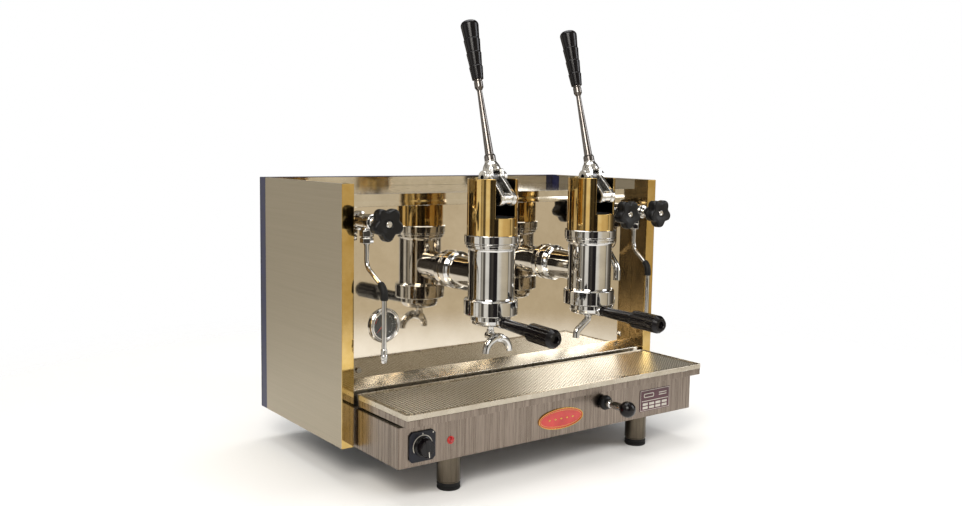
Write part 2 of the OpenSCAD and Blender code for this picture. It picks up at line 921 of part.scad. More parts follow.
module gauge_cases() color("silver") at_face()
    for (side = gauge_sides)
        translate([side * gauge_x, 0, gauge_z]) {
            difference() {
                union() {
                    rod_y(gauge_d, splash_in - gauge_out, gauge_out);
                    rod_y(gauge_body_d, splash_in - cut, gauge_body_len);
                }
                rod_y(gauge_d - 2 * bezel_w, splash_in - gauge_out - cut, gauge_out + cut + dial_in);
            }
        }

module gauge_dials() color("black") at_face()
    for (side = gauge_sides)
        translate([side * gauge_x, 0, gauge_z])
            difference() {
                rod_y(gauge_d - 2 * bezel_w - 2 * fixed_fit, splash_in + dial_in - dial_t, dial_t);
                rod_y(needle_pin_d + 2 * gap, splash_in + dial_in - dial_t - cut, dial_t + 2 * cut);
            }

module gauge_lenses() color("white", 0.3) at_face()
    for (side = gauge_sides)
        translate([side * gauge_x, 0, gauge_z])
            rod_y(gauge_d - 2 * bezel_w, splash_in - gauge_out + 1, lens_t);

module gauge_needle(side) color("red") at_face()
    translate([side * gauge_x, splash_in + dial_in - dial_t - gap, gauge_z])
        rotate([90, 0, 0]) {
            cylinder(d = needle_hub_d, h = needle_hub_t);
            translate([0, 0, -dial_t - gap])
                cylinder(d = needle_pin_d, h = dial_t + 2 * gap);
            rotate([0, 0, needle_rest])
                span([-needle_hub_d, -needle_w / 2, gap], [gauge_d * 0.3, needle_w / 2, 2 * gap + 0.4]);
        }

module left_gauge_needle() gauge_needle(-1);
module right_gauge_needle() gauge_needle(1);

// ---- Boiler --------------------------------------------------------------

module boiler() color("peru") at_face() {
    difference() {
        union() {
            translate([0, boiler_in, boiler_z])
                rod_x(boiler_d, boiler_len);
            for (side = [-1, 1]) {
                translate([side * boiler_len / 2, boiler_in, boiler_z])
                    rod_x(boiler_d + end_flange_d, 2 * end_flange_t);
                translate([side * group_x, 0, neck_z])
                    rod_y(stub_d, splash_in, boiler_in - splash_in);
            }
            for (x = valve_places)
                translate([tap_place(x), boiler_in - tap_back, boiler_z])
                    cylinder(d = tap_d, h = boiler_d / 2 + tap_h);
            translate([0, boiler_in, boiler_z])
                cylinder(d = tap_d + 4, h = boiler_d / 2 + tap_h);
            translate([inlet_x, 0, fill_pipe_z])
                rod_y(tap_d, boiler_in, boiler_d / 2 + tap_h);
        }
        translate([0, boiler_in, boiler_z])
            rod_x(boiler_d - 2 * boiler_wall, boiler_len - 2 * end_flange_t);
        for (side = [-1, 1])
            translate([side * group_x, 0, neck_z])
                rod_y(stub_d - 16, splash_in - cut, boiler_in - splash_in);
        for (side = [-1, 1], i = [1 : end_screws])
            translate([side * boiler_len / 2, boiler_in, boiler_z])
                rotate([i * 360 / end_screws, 0, 0])
                    translate([0, 0, boiler_d / 2 + end_flange_d / 4])
                        rod_x(end_screw_d, 2 * end_flange_t + 2 * cut);
        translate([-boiler_len / 2, boiler_in, boiler_z])
            rod_x(element_flange_d, 2 * end_flange_t + 2 * cut);
    }
}

// Screw-in flange that carries two long heating loops
module heating_element() color("silver") at_face()
    translate([-boiler_len / 2 - end_flange_t, boiler_in, boiler_z]) {
        rotate([0, 90, 0])
            cylinder(d = element_flange_d - 2 * fixed_fit, h = 2 * end_flange_t);
        translate([-element_hex_t, 0, 0])
            rotate([0, 90, 0])
                cylinder(d = element_flange_d + 2 * element_hex_t, h = element_hex_t, $fn = 6);
        for (y = [-1, 1]) {
            for (z = [-1, 1])
                translate([end_flange_t, y * element_gap / 2, z * element_gap / 2])
                    rotate([0, 90, 0])
                        cylinder(d = element_d, h = element_len);
            translate([end_flange_t + element_len, y * element_gap / 2, 0])
                rotate([90, 0, 0])
                    rotate_extrude(angle = 180, start = -90)
                        translate([element_gap / 2, 0])
                            circle(d = element_d);
        }
    }

// Safety valve, fill pipe with its inlet union, and the pipes to the valves
module boiler_pipework() color("darkgoldenrod") at_face() {
    tap_top = boiler_z + boiler_d / 2 + tap_h;
    translate([0, boiler_in, tap_top]) {
        cylinder(d = safety_d, h = safety_h);
        translate([0, 0, safety_h])
            cylinder(d = union_hex_d, h = union_hex_h, $fn = 6);
        translate([0, 0, safety_h + union_hex_h])
            cylinder(d = safety_d - 2, h = safety_h);
    }
    inlet_union();
    translate([inlet_x, pipe_in, case_lift + floor_t + inlet_above])
        cylinder(d = union_hex_d, h = union_hex_h, $fn = 6);
    translate([inlet_x, 0, 0])
        tube_yz([
            [pipe_in, case_lift + floor_t + inlet_above + union_hex_h],
            [pipe_in, fill_pipe_z],
            [boiler_in + boiler_d / 2 + tap_h, fill_pipe_z]
        ], pipe_d, pipe_bend);
    for (x = valve_places)
        valve_feed(x);
}

// Hose spigot below a rim under the case, on a neck that passes the floor of the frame
module inlet_union() {
    spigot_z = case_lift - inlet_rim_h - inlet_len;
    translate([inlet_x, pipe_in, 0])
        difference() {
            union() {
                translate([0, 0, spigot_z])
                    cylinder(d = inlet_d, h = inlet_len);
                translate([0, 0, case_lift - inlet_rim_h])
                    cylinder(d = inlet_rim_d, h = inlet_rim_h);
                translate([0, 0, case_lift])
                    cylinder(d = inlet_neck_d, h = floor_t + inlet_above);
            }
            translate([0, 0, spigot_z - cut])
                cylinder(d = inlet_bore, h = case_lift + floor_t + inlet_above + cut - spigot_z);
        }
}

// Pipe from the top of the boiler to one valve
module valve_feed(x) {
    tap_x = tap_place(x);
    tap_top = boiler_z + boiler_d / 2 + tap_h;
    back_y = boiler_in - tap_back;
    translate([tap_x, back_y, tap_top])
        cylinder(d = elbow_d, h = valve_z + elbow_d / 2 - tap_top);
    translate([0, 0, valve_z])
        tube_xy([[tap_x, back_y], [x, back_y], [x, splash_in + sheet + valve_tail]], pipe_d, pipe_bend);
}

module cable_gland() color("black") at_face()
    translate([-inlet_x, pipe_in, case_lift]) {
        translate([0, 0, -gland_out])
            ring(gland_nut_d, gland_bore, gland_out);
        ring(gland_d - 2 * fixed_fit, gland_bore, floor_t);
        translate([0, 0, floor_t])
            ring(gland_nut_d, gland_bore, gland_in);
    }

module panel_screws() color("silver") at_face()
    for (x = [-1, 1])
        translate([x * splash_bolt_x, 0, splash_bolt_z]) {
            rod_y(screw_d, splash_in - cut, screw_len);
            translate([0, splash_in - screw_head_t, 0])
                rotate([-90, 0, 0])
                    cylinder(d = screw_head_d, h = screw_head_t, $fn = 6);
        }

// ---- Valves --------------------------------------------------------------

module valve_bodies() color("silver") at_face()
    for (x = valve_places)
        translate([x, 0, valve_z])
            difference() {
                union() {
                    rod_y(valve_d, -valve_front, splash_in + valve_front);
                    rod_y(valve_d - 6, splash_in - cut, sheet + valve_tail + cut);
                    rod_y(stem_d + 8, -valve_front - packing_len, packing_len + cut);
                    translate([0, outlet_in, nut_hex_z + nut_hex_h - valve_z])
                        cylinder(d = nut_hex_d - 4, h = valve_z - nut_hex_z - nut_hex_h);
                    translate([0, outlet_in, nut_hex_z - valve_z])
                        cylinder(d = nut_hex_d, h = nut_hex_h, $fn = 6);
                }
                rod_y(stem_d + 2 * run_fit, -valve_front - packing_len - cut, stem_in + packing_len);
                translate([0, outlet_in, nut_hex_z - valve_z - cut])
                    cylinder(d = wand_seat_d(x), h = nut_hex_h + cut);
            }

function tap_place(x) = (x < 0 ? -1 : 1) * (boiler_len / 2 - (x == water_x ? water_tap : steam_tap));

function wand_seat_d(x) = (x == water_x ? water_d : wand_d) + spigot_wall + wand_fit;

module star_knob(x) color("black") at_face()
    translate([x, -star_out, valve_z])
        rotate([-90, 0, 0]) {
            difference() {
                union() {
                    linear_extrude(star_t)
                        polygon([for (a = [0 : 5 : 355]) star_radius(a) * [sin(a), -cos(a)]]);
                    cylinder(d = star_hub_d, h = star_out - valve_front - packing_len - gap);
                }
                translate([0, 0, -cut])
                    cylinder(d = star_cap_d, h = star_cap_in + cut);
            }
            translate([0, 0, star_cap_in / 2])
                cylinder(d = star_cap_d - 3, h = star_cap_in / 2 + cut);
            cylinder(d = stem_d, h = star_out + stem_in - valve_front - packing_len);
        }

// Distance of the rim of a star knob from its axis at angle a
function star_radius(a) = star_d / 2 - star_wave * (1 - cos(star_lobes * a));

module left_steam_knob() star_knob(steam_left_x);
module right_steam_knob() star_knob(steam_right_x);
module water_knob() star_knob(water_x);

// Place of one steam tube, turned about its nut
module at_wand(x, turn) {
    translate([x, outlet_in, 0])
        rotate([0, 0, turn])
            translate([0, -outlet_in, 0])
                children();
}

// Curved steam tube with the spigot that turns in its nut, and its nozzle
module steam_wand(x, turn) color("silver") at_face()
    at_wand(x, turn) {
        tube_yz(wand_path, wand_d, wand_bend);
        translate([0, outlet_in, spigot_low])
            cylinder(d = wand_d + spigot_wall, h = wand_top - spigot_low);
        translate([0, nozzle_y, wand_tip_z]) {
            cylinder(d = nozzle_d, h = nozzle_len);
            translate([0, 0, nozzle_len / 3])
                cylinder(d = nozzle_d + 1.5, h = nozzle_len / 4);
        }
    }

// Rubber sleeve around the lower bend of a steam tube
module wand_grip(x, turn) color("black") at_face()
    at_wand(x, turn)
        difference() {
            tube_yz(grip_path(0), wand_grip_d, wand_bend);
            tube_yz(grip_path(cut), wand_d, wand_bend);
        }

// Path of the rubber sleeve, longer by extra at both ends
function grip_path(extra) = [
    wand_path[2] + (grip_up + extra) * wand_slope, wand_path[2], wand_path[2] - [0, grip_down + extra]
];

module left_steam_wand() steam_wand(steam_left_x, 0);
module right_steam_wand() steam_wand(steam_right_x, right_wand_angle);
module left_wand_grip() wand_grip(steam_left_x, 0);
module right_wand_grip() wand_grip(steam_right_x, right_wand_angle);

module water_spout() color("silver") at_face()
    translate([water_x, 0, 0]) {
        tube_yz(water_path, water_d, water_bend);
        translate([0, outlet_in, spigot_low])
            cylinder(d = water_d + spigot_wall, h = wand_top - spigot_low);
    }

// ---- Groups --------------------------------------------------------------

module group_body(side) color("silver") at_group(side)
    difference() {
        union() {
            translate([0, 0, bell_z])
                cylinder(d = bell_d, h = bell_h);
            translate([0, 0, bell_top])
                cylinder(d = barrel_d, h = nut_z - collar_h - bell_top);
            translate([0, 0, nut_z - collar_h])
                cylinder(d = collar_d, h = collar_h);
            translate([0, 0, neck_z])
                rod_y(neck_d, 0, group_out + neck_back);
            translate([0, 0, neck_z])
                rod_y(flange_d, group_out + neck_back - flange_t, flange_t);
        }
        translate([0, 0, recess_top - cut])
            cylinder(d = bore_d, h = nut_z);
        translate([0, 0, sleeve_z])
            cylinder(d = sleeve_d + 2 * fixed_fit, h = nut_z);
        translate([0, 0, bell_z + lip_t])
            cylinder(d = recess_d, h = recess_top - bell_z - lip_t);
        translate([0, 0, bell_z - cut])
            cylinder(d = lip_d, h = lip_t + 2 * cut);
        for (turn = [0, 180])
            rotate([0, 0, turn - unlock_a])
                translate([0, 0, bell_z - cut])
                    wedge(recess_d / 2, notch_a, lip_t + 2 * cut);
        translate([0, 0, neck_z])
            rod_y(14, 0, group_out + neck_back + cut);
    }

// Sector of a disc, centred on the X axis, that spans angle a
module wedge(r, a, h) {
    rotate([0, 0, -a / 2])
        rotate_extrude(angle = a)
            square([r, h]);
}

module left_group_body() group_body(-1);
module right_group_body() group_body(1);

module ring_nuts() color("silver")
    for (side = [-1, 1])
        at_group(side)
            translate([0, 0, nut_z])
                difference() {
                    ring(nut_d, sleeve_d + 2 * fixed_fit, nut_h);
                    translate([0, 0, 2])
                        ring(nut_d + cut, nut_d - 2, 2);
                }

module group_seals() color("black")
    for (side = [-1, 1])
        at_group(side)
            translate([0, 0, recess_top - seal_t])
                ring(recess_d - 2 * fixed_fit, seal_in_d, seal_t);

module shower_screens() color("silver")
    for (side = [-1, 1])
        at_group(side)
            translate([0, 0, recess_top - screen_t - 0.5])
                difference() {
                    cylinder(d = seal_in_d - 2 * fixed_fit, h = screen_t + 0.5);
                    for (i = [0 : 7])
                        rotate([0, 0, i * 45])
                            translate([18, 0, -cut])
                                cylinder(d = 4, h = 4);
                }

// Brass sleeve with the lever slot in front and the web that backs the spring
module spring_sleeve(side) color("goldenrod") at_group(side)
    difference() {
        translate([0, 0, sleeve_z])
            cylinder(d = sleeve_d, h = sleeve_top_z - sleeve_z);
        translate([0, 0, sleeve_z - cut])
            cylinder(r = sleeve_in, h = slot_z - web_t - sleeve_z + cut);
        translate([0, 0, slot_z])
            cylinder(r = sleeve_in, h = sleeve_top_z);
        translate([0, 0, sleeve_z])
            cylinder(d = piston_rod_d + 2 * gap, h = slot_z);
        rotate([0, 0, -90])
            translate([0, 0, slot_z])
                wedge(sleeve_r + cut, 2 * slot_half_angle, sleeve_top_z);
    }

module left_spring_sleeve() spring_sleeve(-1);
module right_spring_sleeve() spring_sleeve(1);

// Helical spring between the piston and the web of the sleeve
module main_spring(side) color("gray") at_group(side) {
    rings = spring_turns * spring_steps;
    low = spring_low + gap + wire_d / 2;
    rise = spring_high - gap - wire_d / 2 - low;
    points = [
        for (i = [0 : rings], j = [0 : wire_sides - 1])
            let (
                turn = i * 360 / spring_steps,
                a = j * 360 / wire_sides,
                out = spring_d / 2 + wire_d / 2 * cos(a)
            )
            [out * cos(turn), out * sin(turn), low + rise * i / rings - wire_d / 2 * sin(a)]
    ];
    polyhedron(points, tube_faces(rings + 1, wire_sides));
}

module left_main_spring() main_spring(-1);
module right_main_spring() main_spring(1);

// Piston with its rod and the eye for the pivot pin
module piston(side) color("silver") at_group(side)
    difference() {
        union() {
            translate([0, 0, piston_z])
                difference() {
                    cylinder(d = piston_d, h = piston_h);
                    for (z = [5, 15])
                        translate([0, 0, z])
                            ring(piston_d + cut, piston_d - 4, 3);
                }
            translate([0, 0, piston_z])
                cylinder(d = piston_rod_d, h = pivot_z - pivot_pin_d / 2 - piston_z);
            translate([0, 0, pivot_z])
                rod_x(eye_d, eye_t);
        }
        translate([0, 0, pivot_z])
            rod_x(pivot_pin_d + 2 * run_fit, fork_w);
    }

module left_piston() piston(-1);
module right_piston() piston(1);

// ---- Levers --------------------------------------------------------------

// Fork, pivot pin with rollers, collar and tapered rod
module lever(side) color("silver") at_group(side)
    translate([0, 0, pivot_z]) {
        difference() {
            rotate([90, 0, 90])
                translate([0, 0, -fork_w / 2])
                    linear_extrude(fork_w)
                        polygon(fork_outline());
            span([-fork_gap / 2, -fork_arm - fork_r - hub_r, -fork_arm - fork_r - hub_r],
                [fork_gap / 2, 2 * hub_r, eye_clear]);
        }
        rod_x(pivot_pin_d, fork_w + 2 * roller_t);
        for (x = [-1, 1])
            translate([x * (fork_w + roller_t) / 2, 0, 0])
                rod_x(roller_d, roller_t);
        rotate([-lean, 0, 0]) {
            translate([0, 0, collar_low - cut])
                cylinder(d = lever_collar_d, h = collar_len + cut);
            translate([0, 0, collar_low + collar_len])
                cylinder(d1 = rod_d, d2 = rod_tip_d, h = grip_low - ferrule_len - collar_low - collar_len);
            translate([0, 0, grip_low - ferrule_len])
                cylinder(d = ferrule_d, h = ferrule_len);
        }
    }

// Side view of the fork: a neck that leans back, and an arm that reaches forwards and down
function fork_outline() = concat(
    [leaned(neck_half, collar_low), leaned(-neck_half, collar_low), leaned(-neck_half, neck_foot)],
    [for (a = [90 + fork_angle : 18 : 270 + fork_angle])
        -fork_arm * [cos(fork_angle), sin(fork_angle)] + fork_r * [cos(a), sin(a)]],
    [for (a = [-45 : 15 : -15]) hub_r * [cos(a), sin(a)]]
);

// Point of the lever's own upright plane after the lean
function leaned(y, z) = [y * cos(lean) + z * sin(lean), z * cos(lean) - y * sin(lean)];

module left_lever() lever(-1);
module right_lever() lever(1);

// Grip turned with four flared segments and a domed end
module lever_grip(side) color("black") at_group(side)
    translate([0, 0, pivot_z])
        rotate([-lean, 0, 0])
            translate([0, 0, grip_low])
                rotate_extrude()
                    polygon(concat(
                        [[0, 0]],
                        [for (i = [0 : grip_segments - 1], e = [0, 1]) [
                            grip_radius(i + e) - (1 - e) * grip_step,
                            i * grip_seg_len + e * (grip_seg_len - grip_groove)
                        ]],
                        [for (a = [10 : 20 : 90]) [
                            grip_d / 2 - grip_round + grip_round * cos(a),
                            grip_len - grip_round + grip_round * sin(a)
                        ]],
                        [[0, grip_len]]
                    ));

function grip_radius(i) = (grip_low_d + (grip_d - grip_low_d) * i / grip_segments) / 2;

module left_lever_grip() lever_grip(-1);
module right_lever_grip() lever_grip(1);

// ---- Portafilters --------------------------------------------------------

module portafilter(side) color("silver") at_portafilter(side) {
    difference() {
        union() {
            translate([0, 0, bowl_z + bowl_round])
                cylinder(d = bowl_d, h = rim_z - bowl_z - bowl_round);
            translate([0, 0, bowl_z])
                rotate_extrude()
                    polygon(concat(
                        [[0, 0]],
                        [for (a = [-90 : 15 : 0]) [
                            bowl_d / 2 - bowl_round + bowl_round * cos(a), bowl_round + bowl_round * sin(a)
                        ]],
                        [[0, bowl_round]]
                    ));
            for (turn = [0, 180])
                rotate([0, 0, turn])
                    translate([0, 0, bell_z + lip_t + gap])
                        wedge(ear_d / 2, ear_a, ear_t);
            translate([0, 0, handle_z])
                rod_y(socket_d, -neck_len, neck_len - bowl_d / 2 + 4);
        }
        translate([0, 0, bowl_z + bowl_wall])
            cylinder(d = bowl_d - 2 * bowl_wall, h = rim_z);
        translate([0, 0, bowl_z - cut])
            cylinder(d = 6, h = bowl_wall + 2 * cut);
    }
    filter_basket();
}

// Basket that hangs by its lip on the rim of the bowl
module filter_basket() {
    basket_d = bowl_d - 2 * bowl_wall - 2 * fixed_fit;
    translate([0, 0, rim_z])
        difference() {
            union() {
                translate([0, 0, -basket_in])
                    cylinder(d = basket_d, h = basket_in + basket_wall);
                cylinder(d = bowl_d - bowl_wall, h = basket_wall);
            }
            translate([0, 0, -basket_in + basket_wall])
                cylinder(d = basket_d - 2 * basket_wall, h = basket_in + 1);
        }
}

module left_portafilter() portafilter(-1);
module right_portafilter() portafilter(1);

// Turned handle with a fluted end that holds a blind hole
module handle(side) color("black") at_portafilter(side)
    translate([0, 0, handle_z])
        difference() {
            translate([0, -handle_reach, 0])
                rotate([-90, 0, 0])
                    rotate_extrude()
                        polygon([
                            [0, handle_hole],
                            [handle_hole_d / 2, handle_hole],
                            [handle_hole_d / 2, 0],
                            [handle_end_d / 2, 0],
                            [handle_d / 2, handle_chamfer],
                            [handle_d / 2, handle_thick_len],
                            [handle_neck_d / 2, handle_thick_len + handle_cone],
                            [handle_root_d / 2, handle_reach - neck_len],
                            [0, handle_reach - neck_len]
                        ]);
            for (i = [0 : 7])
                rotate([0, i * 45, 0])
                    translate([handle_d / 2, -handle_reach, 0])
                        span([-handle_groove, handle_chamfer + 2, -3],
                            [handle_groove, handle_thick_len - handle_cone, 3]);
        }

module left_portafilter_handle() handle(-1);
module right_portafilter_handle() handle(1);

// Two-way spout: a stem with its lock nut, a boss that reaches forwards and a half ring of tube
module left_spout() color("silver") at_group(-1) {
    arch_r = spout_gap / 2;
    boss_z = spout_z + arch_r;
    translate([0, 0, boss_z])
        cylinder(d = spout_d, h = bowl_z - boss_z);
    translate([0, 0, bowl_z - 3])
        cylinder(d = spout_d + 6, h = 3, $fn = 6);
    translate([0, 0, boss_z])
        rod_y(spout_d + 2, -arch_out - arch_front, arch_out + arch_front + spout_d / 2);
    translate([0, -arch_out, spout_z])
        rotate([90, 0, 0])
            rotate_extrude(angle = 180)
                translate([arch_r, 0])
                    circle(d = spout_d);
}

// One-way spout: the stem bends to the left and its outlet points down
module right_spout() color("silver") at_group(1)
    rotate([90, 0, 0])
        tube_xy([[0, bowl_z], [0, stem_z - 4], [-outlet_left, outlet_bend_z], [-outlet_left, spout_z]],
            spout_d, outlet_bend);

// ---- Nodes ---------------------------------------------------------------

base_frame();
left_side_panel();
right_side_panel();
brass_trims();
rear_cover();
splash_panel();
cup_tray();
splash_ledge();
drip_box();
drip_pan();
drip_grate();
badge_plate();
data_plate();
switch_plate();
switch_knob();
pilot_lamp();
fill_valve();
fill_knob();
foot_legs();
foot_pads();
gauge_cases();
gauge_dials();
gauge_lenses();
left_gauge_needle();
right_gauge_needle();
boiler();
heating_element();
boiler_pipework();
cable_gland();
panel_screws();
valve_bodies();
ring_nuts();
group_seals();
shower_screens();
left_group_body();
right_group_body();
left_spring_sleeve();
right_spring_sleeve();
left_main_spring();
right_main_spring();
left_piston();
right_piston();
left_lever();
right_lever();
left_lever_grip();
right_lever_grip();
left_portafilter();
right_portafilter();
left_spout();
right_spout();
left_portafilter_handle();
right_portafilter_handle();
left_steam_knob();
right_steam_knob();
water_knob();
left_steam_wand();
right_steam_wand();
left_wand_grip();
right_wand_grip();
water_spout();
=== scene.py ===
"""Looks of a two-group spring-lever espresso machine, built around its CAD frame."""

import json
import math

import bmesh
import bpy
from bpy.props import FloatProperty, FloatVectorProperty, IntProperty, PointerProperty
from mathutils import Matrix, Vector


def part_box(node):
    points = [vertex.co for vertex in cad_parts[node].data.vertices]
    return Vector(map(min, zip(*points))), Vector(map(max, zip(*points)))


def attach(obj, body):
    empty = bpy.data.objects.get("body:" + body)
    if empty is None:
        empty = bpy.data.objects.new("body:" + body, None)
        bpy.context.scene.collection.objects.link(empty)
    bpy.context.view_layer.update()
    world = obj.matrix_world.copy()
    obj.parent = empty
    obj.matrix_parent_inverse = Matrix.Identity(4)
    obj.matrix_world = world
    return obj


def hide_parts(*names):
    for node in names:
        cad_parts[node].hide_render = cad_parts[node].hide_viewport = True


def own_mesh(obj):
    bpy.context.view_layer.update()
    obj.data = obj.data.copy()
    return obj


bl_info = {
    "name": "Spring-Lever Espresso Machine",
    "version": (1, 0, 0),
    "blender": (4, 5, 0),
    "location": "3D View > Sidebar > Espresso",
    "description": "Builds the looks of a two-group spring-lever espresso machine around its frame",
    "category": "Object",
}

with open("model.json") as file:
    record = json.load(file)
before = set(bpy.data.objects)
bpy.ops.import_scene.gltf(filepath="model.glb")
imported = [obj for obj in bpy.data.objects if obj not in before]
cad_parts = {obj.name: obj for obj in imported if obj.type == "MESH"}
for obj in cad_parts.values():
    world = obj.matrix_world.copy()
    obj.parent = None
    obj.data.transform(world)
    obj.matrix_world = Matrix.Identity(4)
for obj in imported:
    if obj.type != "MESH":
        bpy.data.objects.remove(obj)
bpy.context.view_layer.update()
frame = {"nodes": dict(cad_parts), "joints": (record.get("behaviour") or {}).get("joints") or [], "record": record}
MM = 0.001
SIDES = {"left": -1, "right": 1}


# ---- Colours and shader nodes ----------------------------------------------


def linear(code):
    """Linear RGBA of an sRGB hex colour."""
    channels = [int(code[i:i + 2], 16) / 255 for i in (1, 3, 5)]
    return [c / 12.92 if c <= 0.04045 else ((c + 0.055) / 1.055) ** 2.4 for c in channels] + [1.0]


def add(tree, kind, inputs=None, **settings):
    """Adds one node to a tree, with its settings, its values and its links."""
    node = tree.nodes.new(kind)
    for name, value in settings.items():
        setattr(node, name, value)
    for key, value in (inputs or {}).items():
        socket = node.inputs[key]
        if isinstance(value, bpy.types.NodeSocket):
            tree.links.new(value, socket)
        else:
            socket.default_value = value
    return node


def ramp(tree, factor, stops):
    """Colour ramp through (position, colour) stops in rising order."""
    node = add(tree, "ShaderNodeValToRGB", {"Fac": factor})
    elements = node.color_ramp.elements
    elements.remove(elements[1])
    for i, (position, colour) in enumerate(stops):
        element = elements[0] if i == 0 else elements.new(position)
        element.position = position
        element.color = linear(colour) if isinstance(colour, str) else (*colour, 1.0)
    return node.outputs["Color"]


def span_of(tree, value, low, high):
    """A 0 to 1 value spread over low to high."""
    return add(
        tree, "ShaderNodeMapRange", {"Value": value, "To Min": low, "To Max": high}
    ).outputs["Result"]


def noise(tree, per_mm, stretch=(1, 1, 1), detail=2.0, rough=0.5):
    """Noise on Object coordinates whose grain is 1 / per_mm millimetres, squeezed along stretch."""
    place = add(tree, "ShaderNodeTexCoord").outputs["Object"]
    scale = [per_mm * 1000 * s for s in stretch]
    mapped = add(tree, "ShaderNodeMapping", {"Vector": place, "Scale": scale}).outputs["Vector"]
    return add(tree, "ShaderNodeTexNoise", {
        "Vector": mapped, "Scale": 1.0, "Detail": detail, "Roughness": rough,
    }).outputs["Fac"]


def bump(tree, height, strength, distance_mm):
    """Bump of a height in millimetres."""
    return add(tree, "ShaderNodeBump", {
        "Height": height, "Strength": strength, "Distance": distance_mm * MM,
    }).outputs["Normal"]


def cleared(owner):
    """The emptied node tree of a material or a world."""
    owner.use_nodes = True
    owner.node_tree.nodes.clear()
    return owner.node_tree


MATERIALS = {}


def material(name, **values):
    """A new material with one Principled shader; returns its tree and its shader."""
    made = bpy.data.materials.new(name)
    tree = cleared(made)
    shader = add(tree, "ShaderNodeBsdfPrincipled")
    add(tree, "ShaderNodeOutputMaterial", {"Surface": shader.outputs["BSDF"]})
    for key, value in values.items():
        shader.inputs[key.replace("_", " ")].default_value = value
    MATERIALS[name] = made
    return tree, shader


def feed(tree, shader, **links):
    for key, socket in links.items():
        tree.links.new(socket, shader.inputs[key.replace("_", " ")])


def polished(name, low, high, smudge, waviness, wave_mm):
    """Polished metal: near-mirror, with faint smudges and a slow waviness that bends its reflections."""
    tree, shader = material(name, Metallic=1.0, Roughness=smudge)
    grain = noise(tree, 1 / 38, detail=4.0, rough=0.6)
    colour = ramp(tree, grain, [(0.3, low), (0.7, high)])
    wiped = noise(tree, 1 / 14, stretch=(1, 1, 0.4), detail=5.0, rough=0.65)
    feed(tree, shader, Base_Color=colour, Roughness=span_of(tree, wiped, smudge * 0.5, smudge * 1.7),
         Normal=bump(tree, noise(tree, 1 / wave_mm, detail=1.0), waviness, 0.6))


def brushed(name, low, high, stretch, pitch_mm, rough, lines=0.25):
    """Brushed metal: thin scratches run across the squeezed axis and catch the light in bands."""
    tree, shader = material(name, Metallic=1.0, Roughness=rough)
    fine = noise(tree, 1 / 0.5, stretch=stretch, detail=3.0, rough=0.7)
    bands = noise(tree, 1 / pitch_mm, stretch=stretch, detail=2.0, rough=0.6)
    both = add(tree, "ShaderNodeMix", {"Factor": 0.55, "A": fine, "B": bands}).outputs["Result"]
    colour = ramp(tree, both, [(0.32, low), (0.68, high)])
    feed(tree, shader, Base_Color=colour, Roughness=span_of(tree, both, rough * 0.75, rough * 1.25),
         Normal=bump(tree, fine, lines, 0.05))


def moulded(name, low, high, rough, grain_mm, depth, coat=0.0):
    """Moulded plastic or rubber: a fine grain, a little rubbed where hands hold it."""
    tree, shader = material(name, Roughness=rough, IOR=1.5, Specular_IOR_Level=0.3, Coat_Weight=coat,
                            Coat_Roughness=0.12)
    rubbed = noise(tree, 1 / 9, detail=4.0, rough=0.6)
    grain = noise(tree, 1 / grain_mm, detail=2.0)
    feed(tree, shader, Base_Color=ramp(tree, rubbed, [(0.35, low), (0.75, high)]),
         Roughness=span_of(tree, rubbed, rough * 0.8, rough * 1.25), Normal=bump(tree, grain, depth, 0.08))


def painted(name, low, high, rough, coat=0.0):
    """Stoved paint or enamel on sheet metal: a slight orange peel under an even colour."""
    tree, shader = material(name, Roughness=rough, IOR=1.5, Coat_Weight=coat, Coat_Roughness=0.06)
    cloud = noise(tree, 1 / 25, detail=3.0)
    feed(tree, shader, Base_Color=ramp(tree, cloud, [(0.3, low), (0.7, high)]),
         Roughness=span_of(tree, cloud, rough * 0.85, rough * 1.15),
         Normal=bump(tree, noise(tree, 1 / 1.6), 0.15, 0.04))


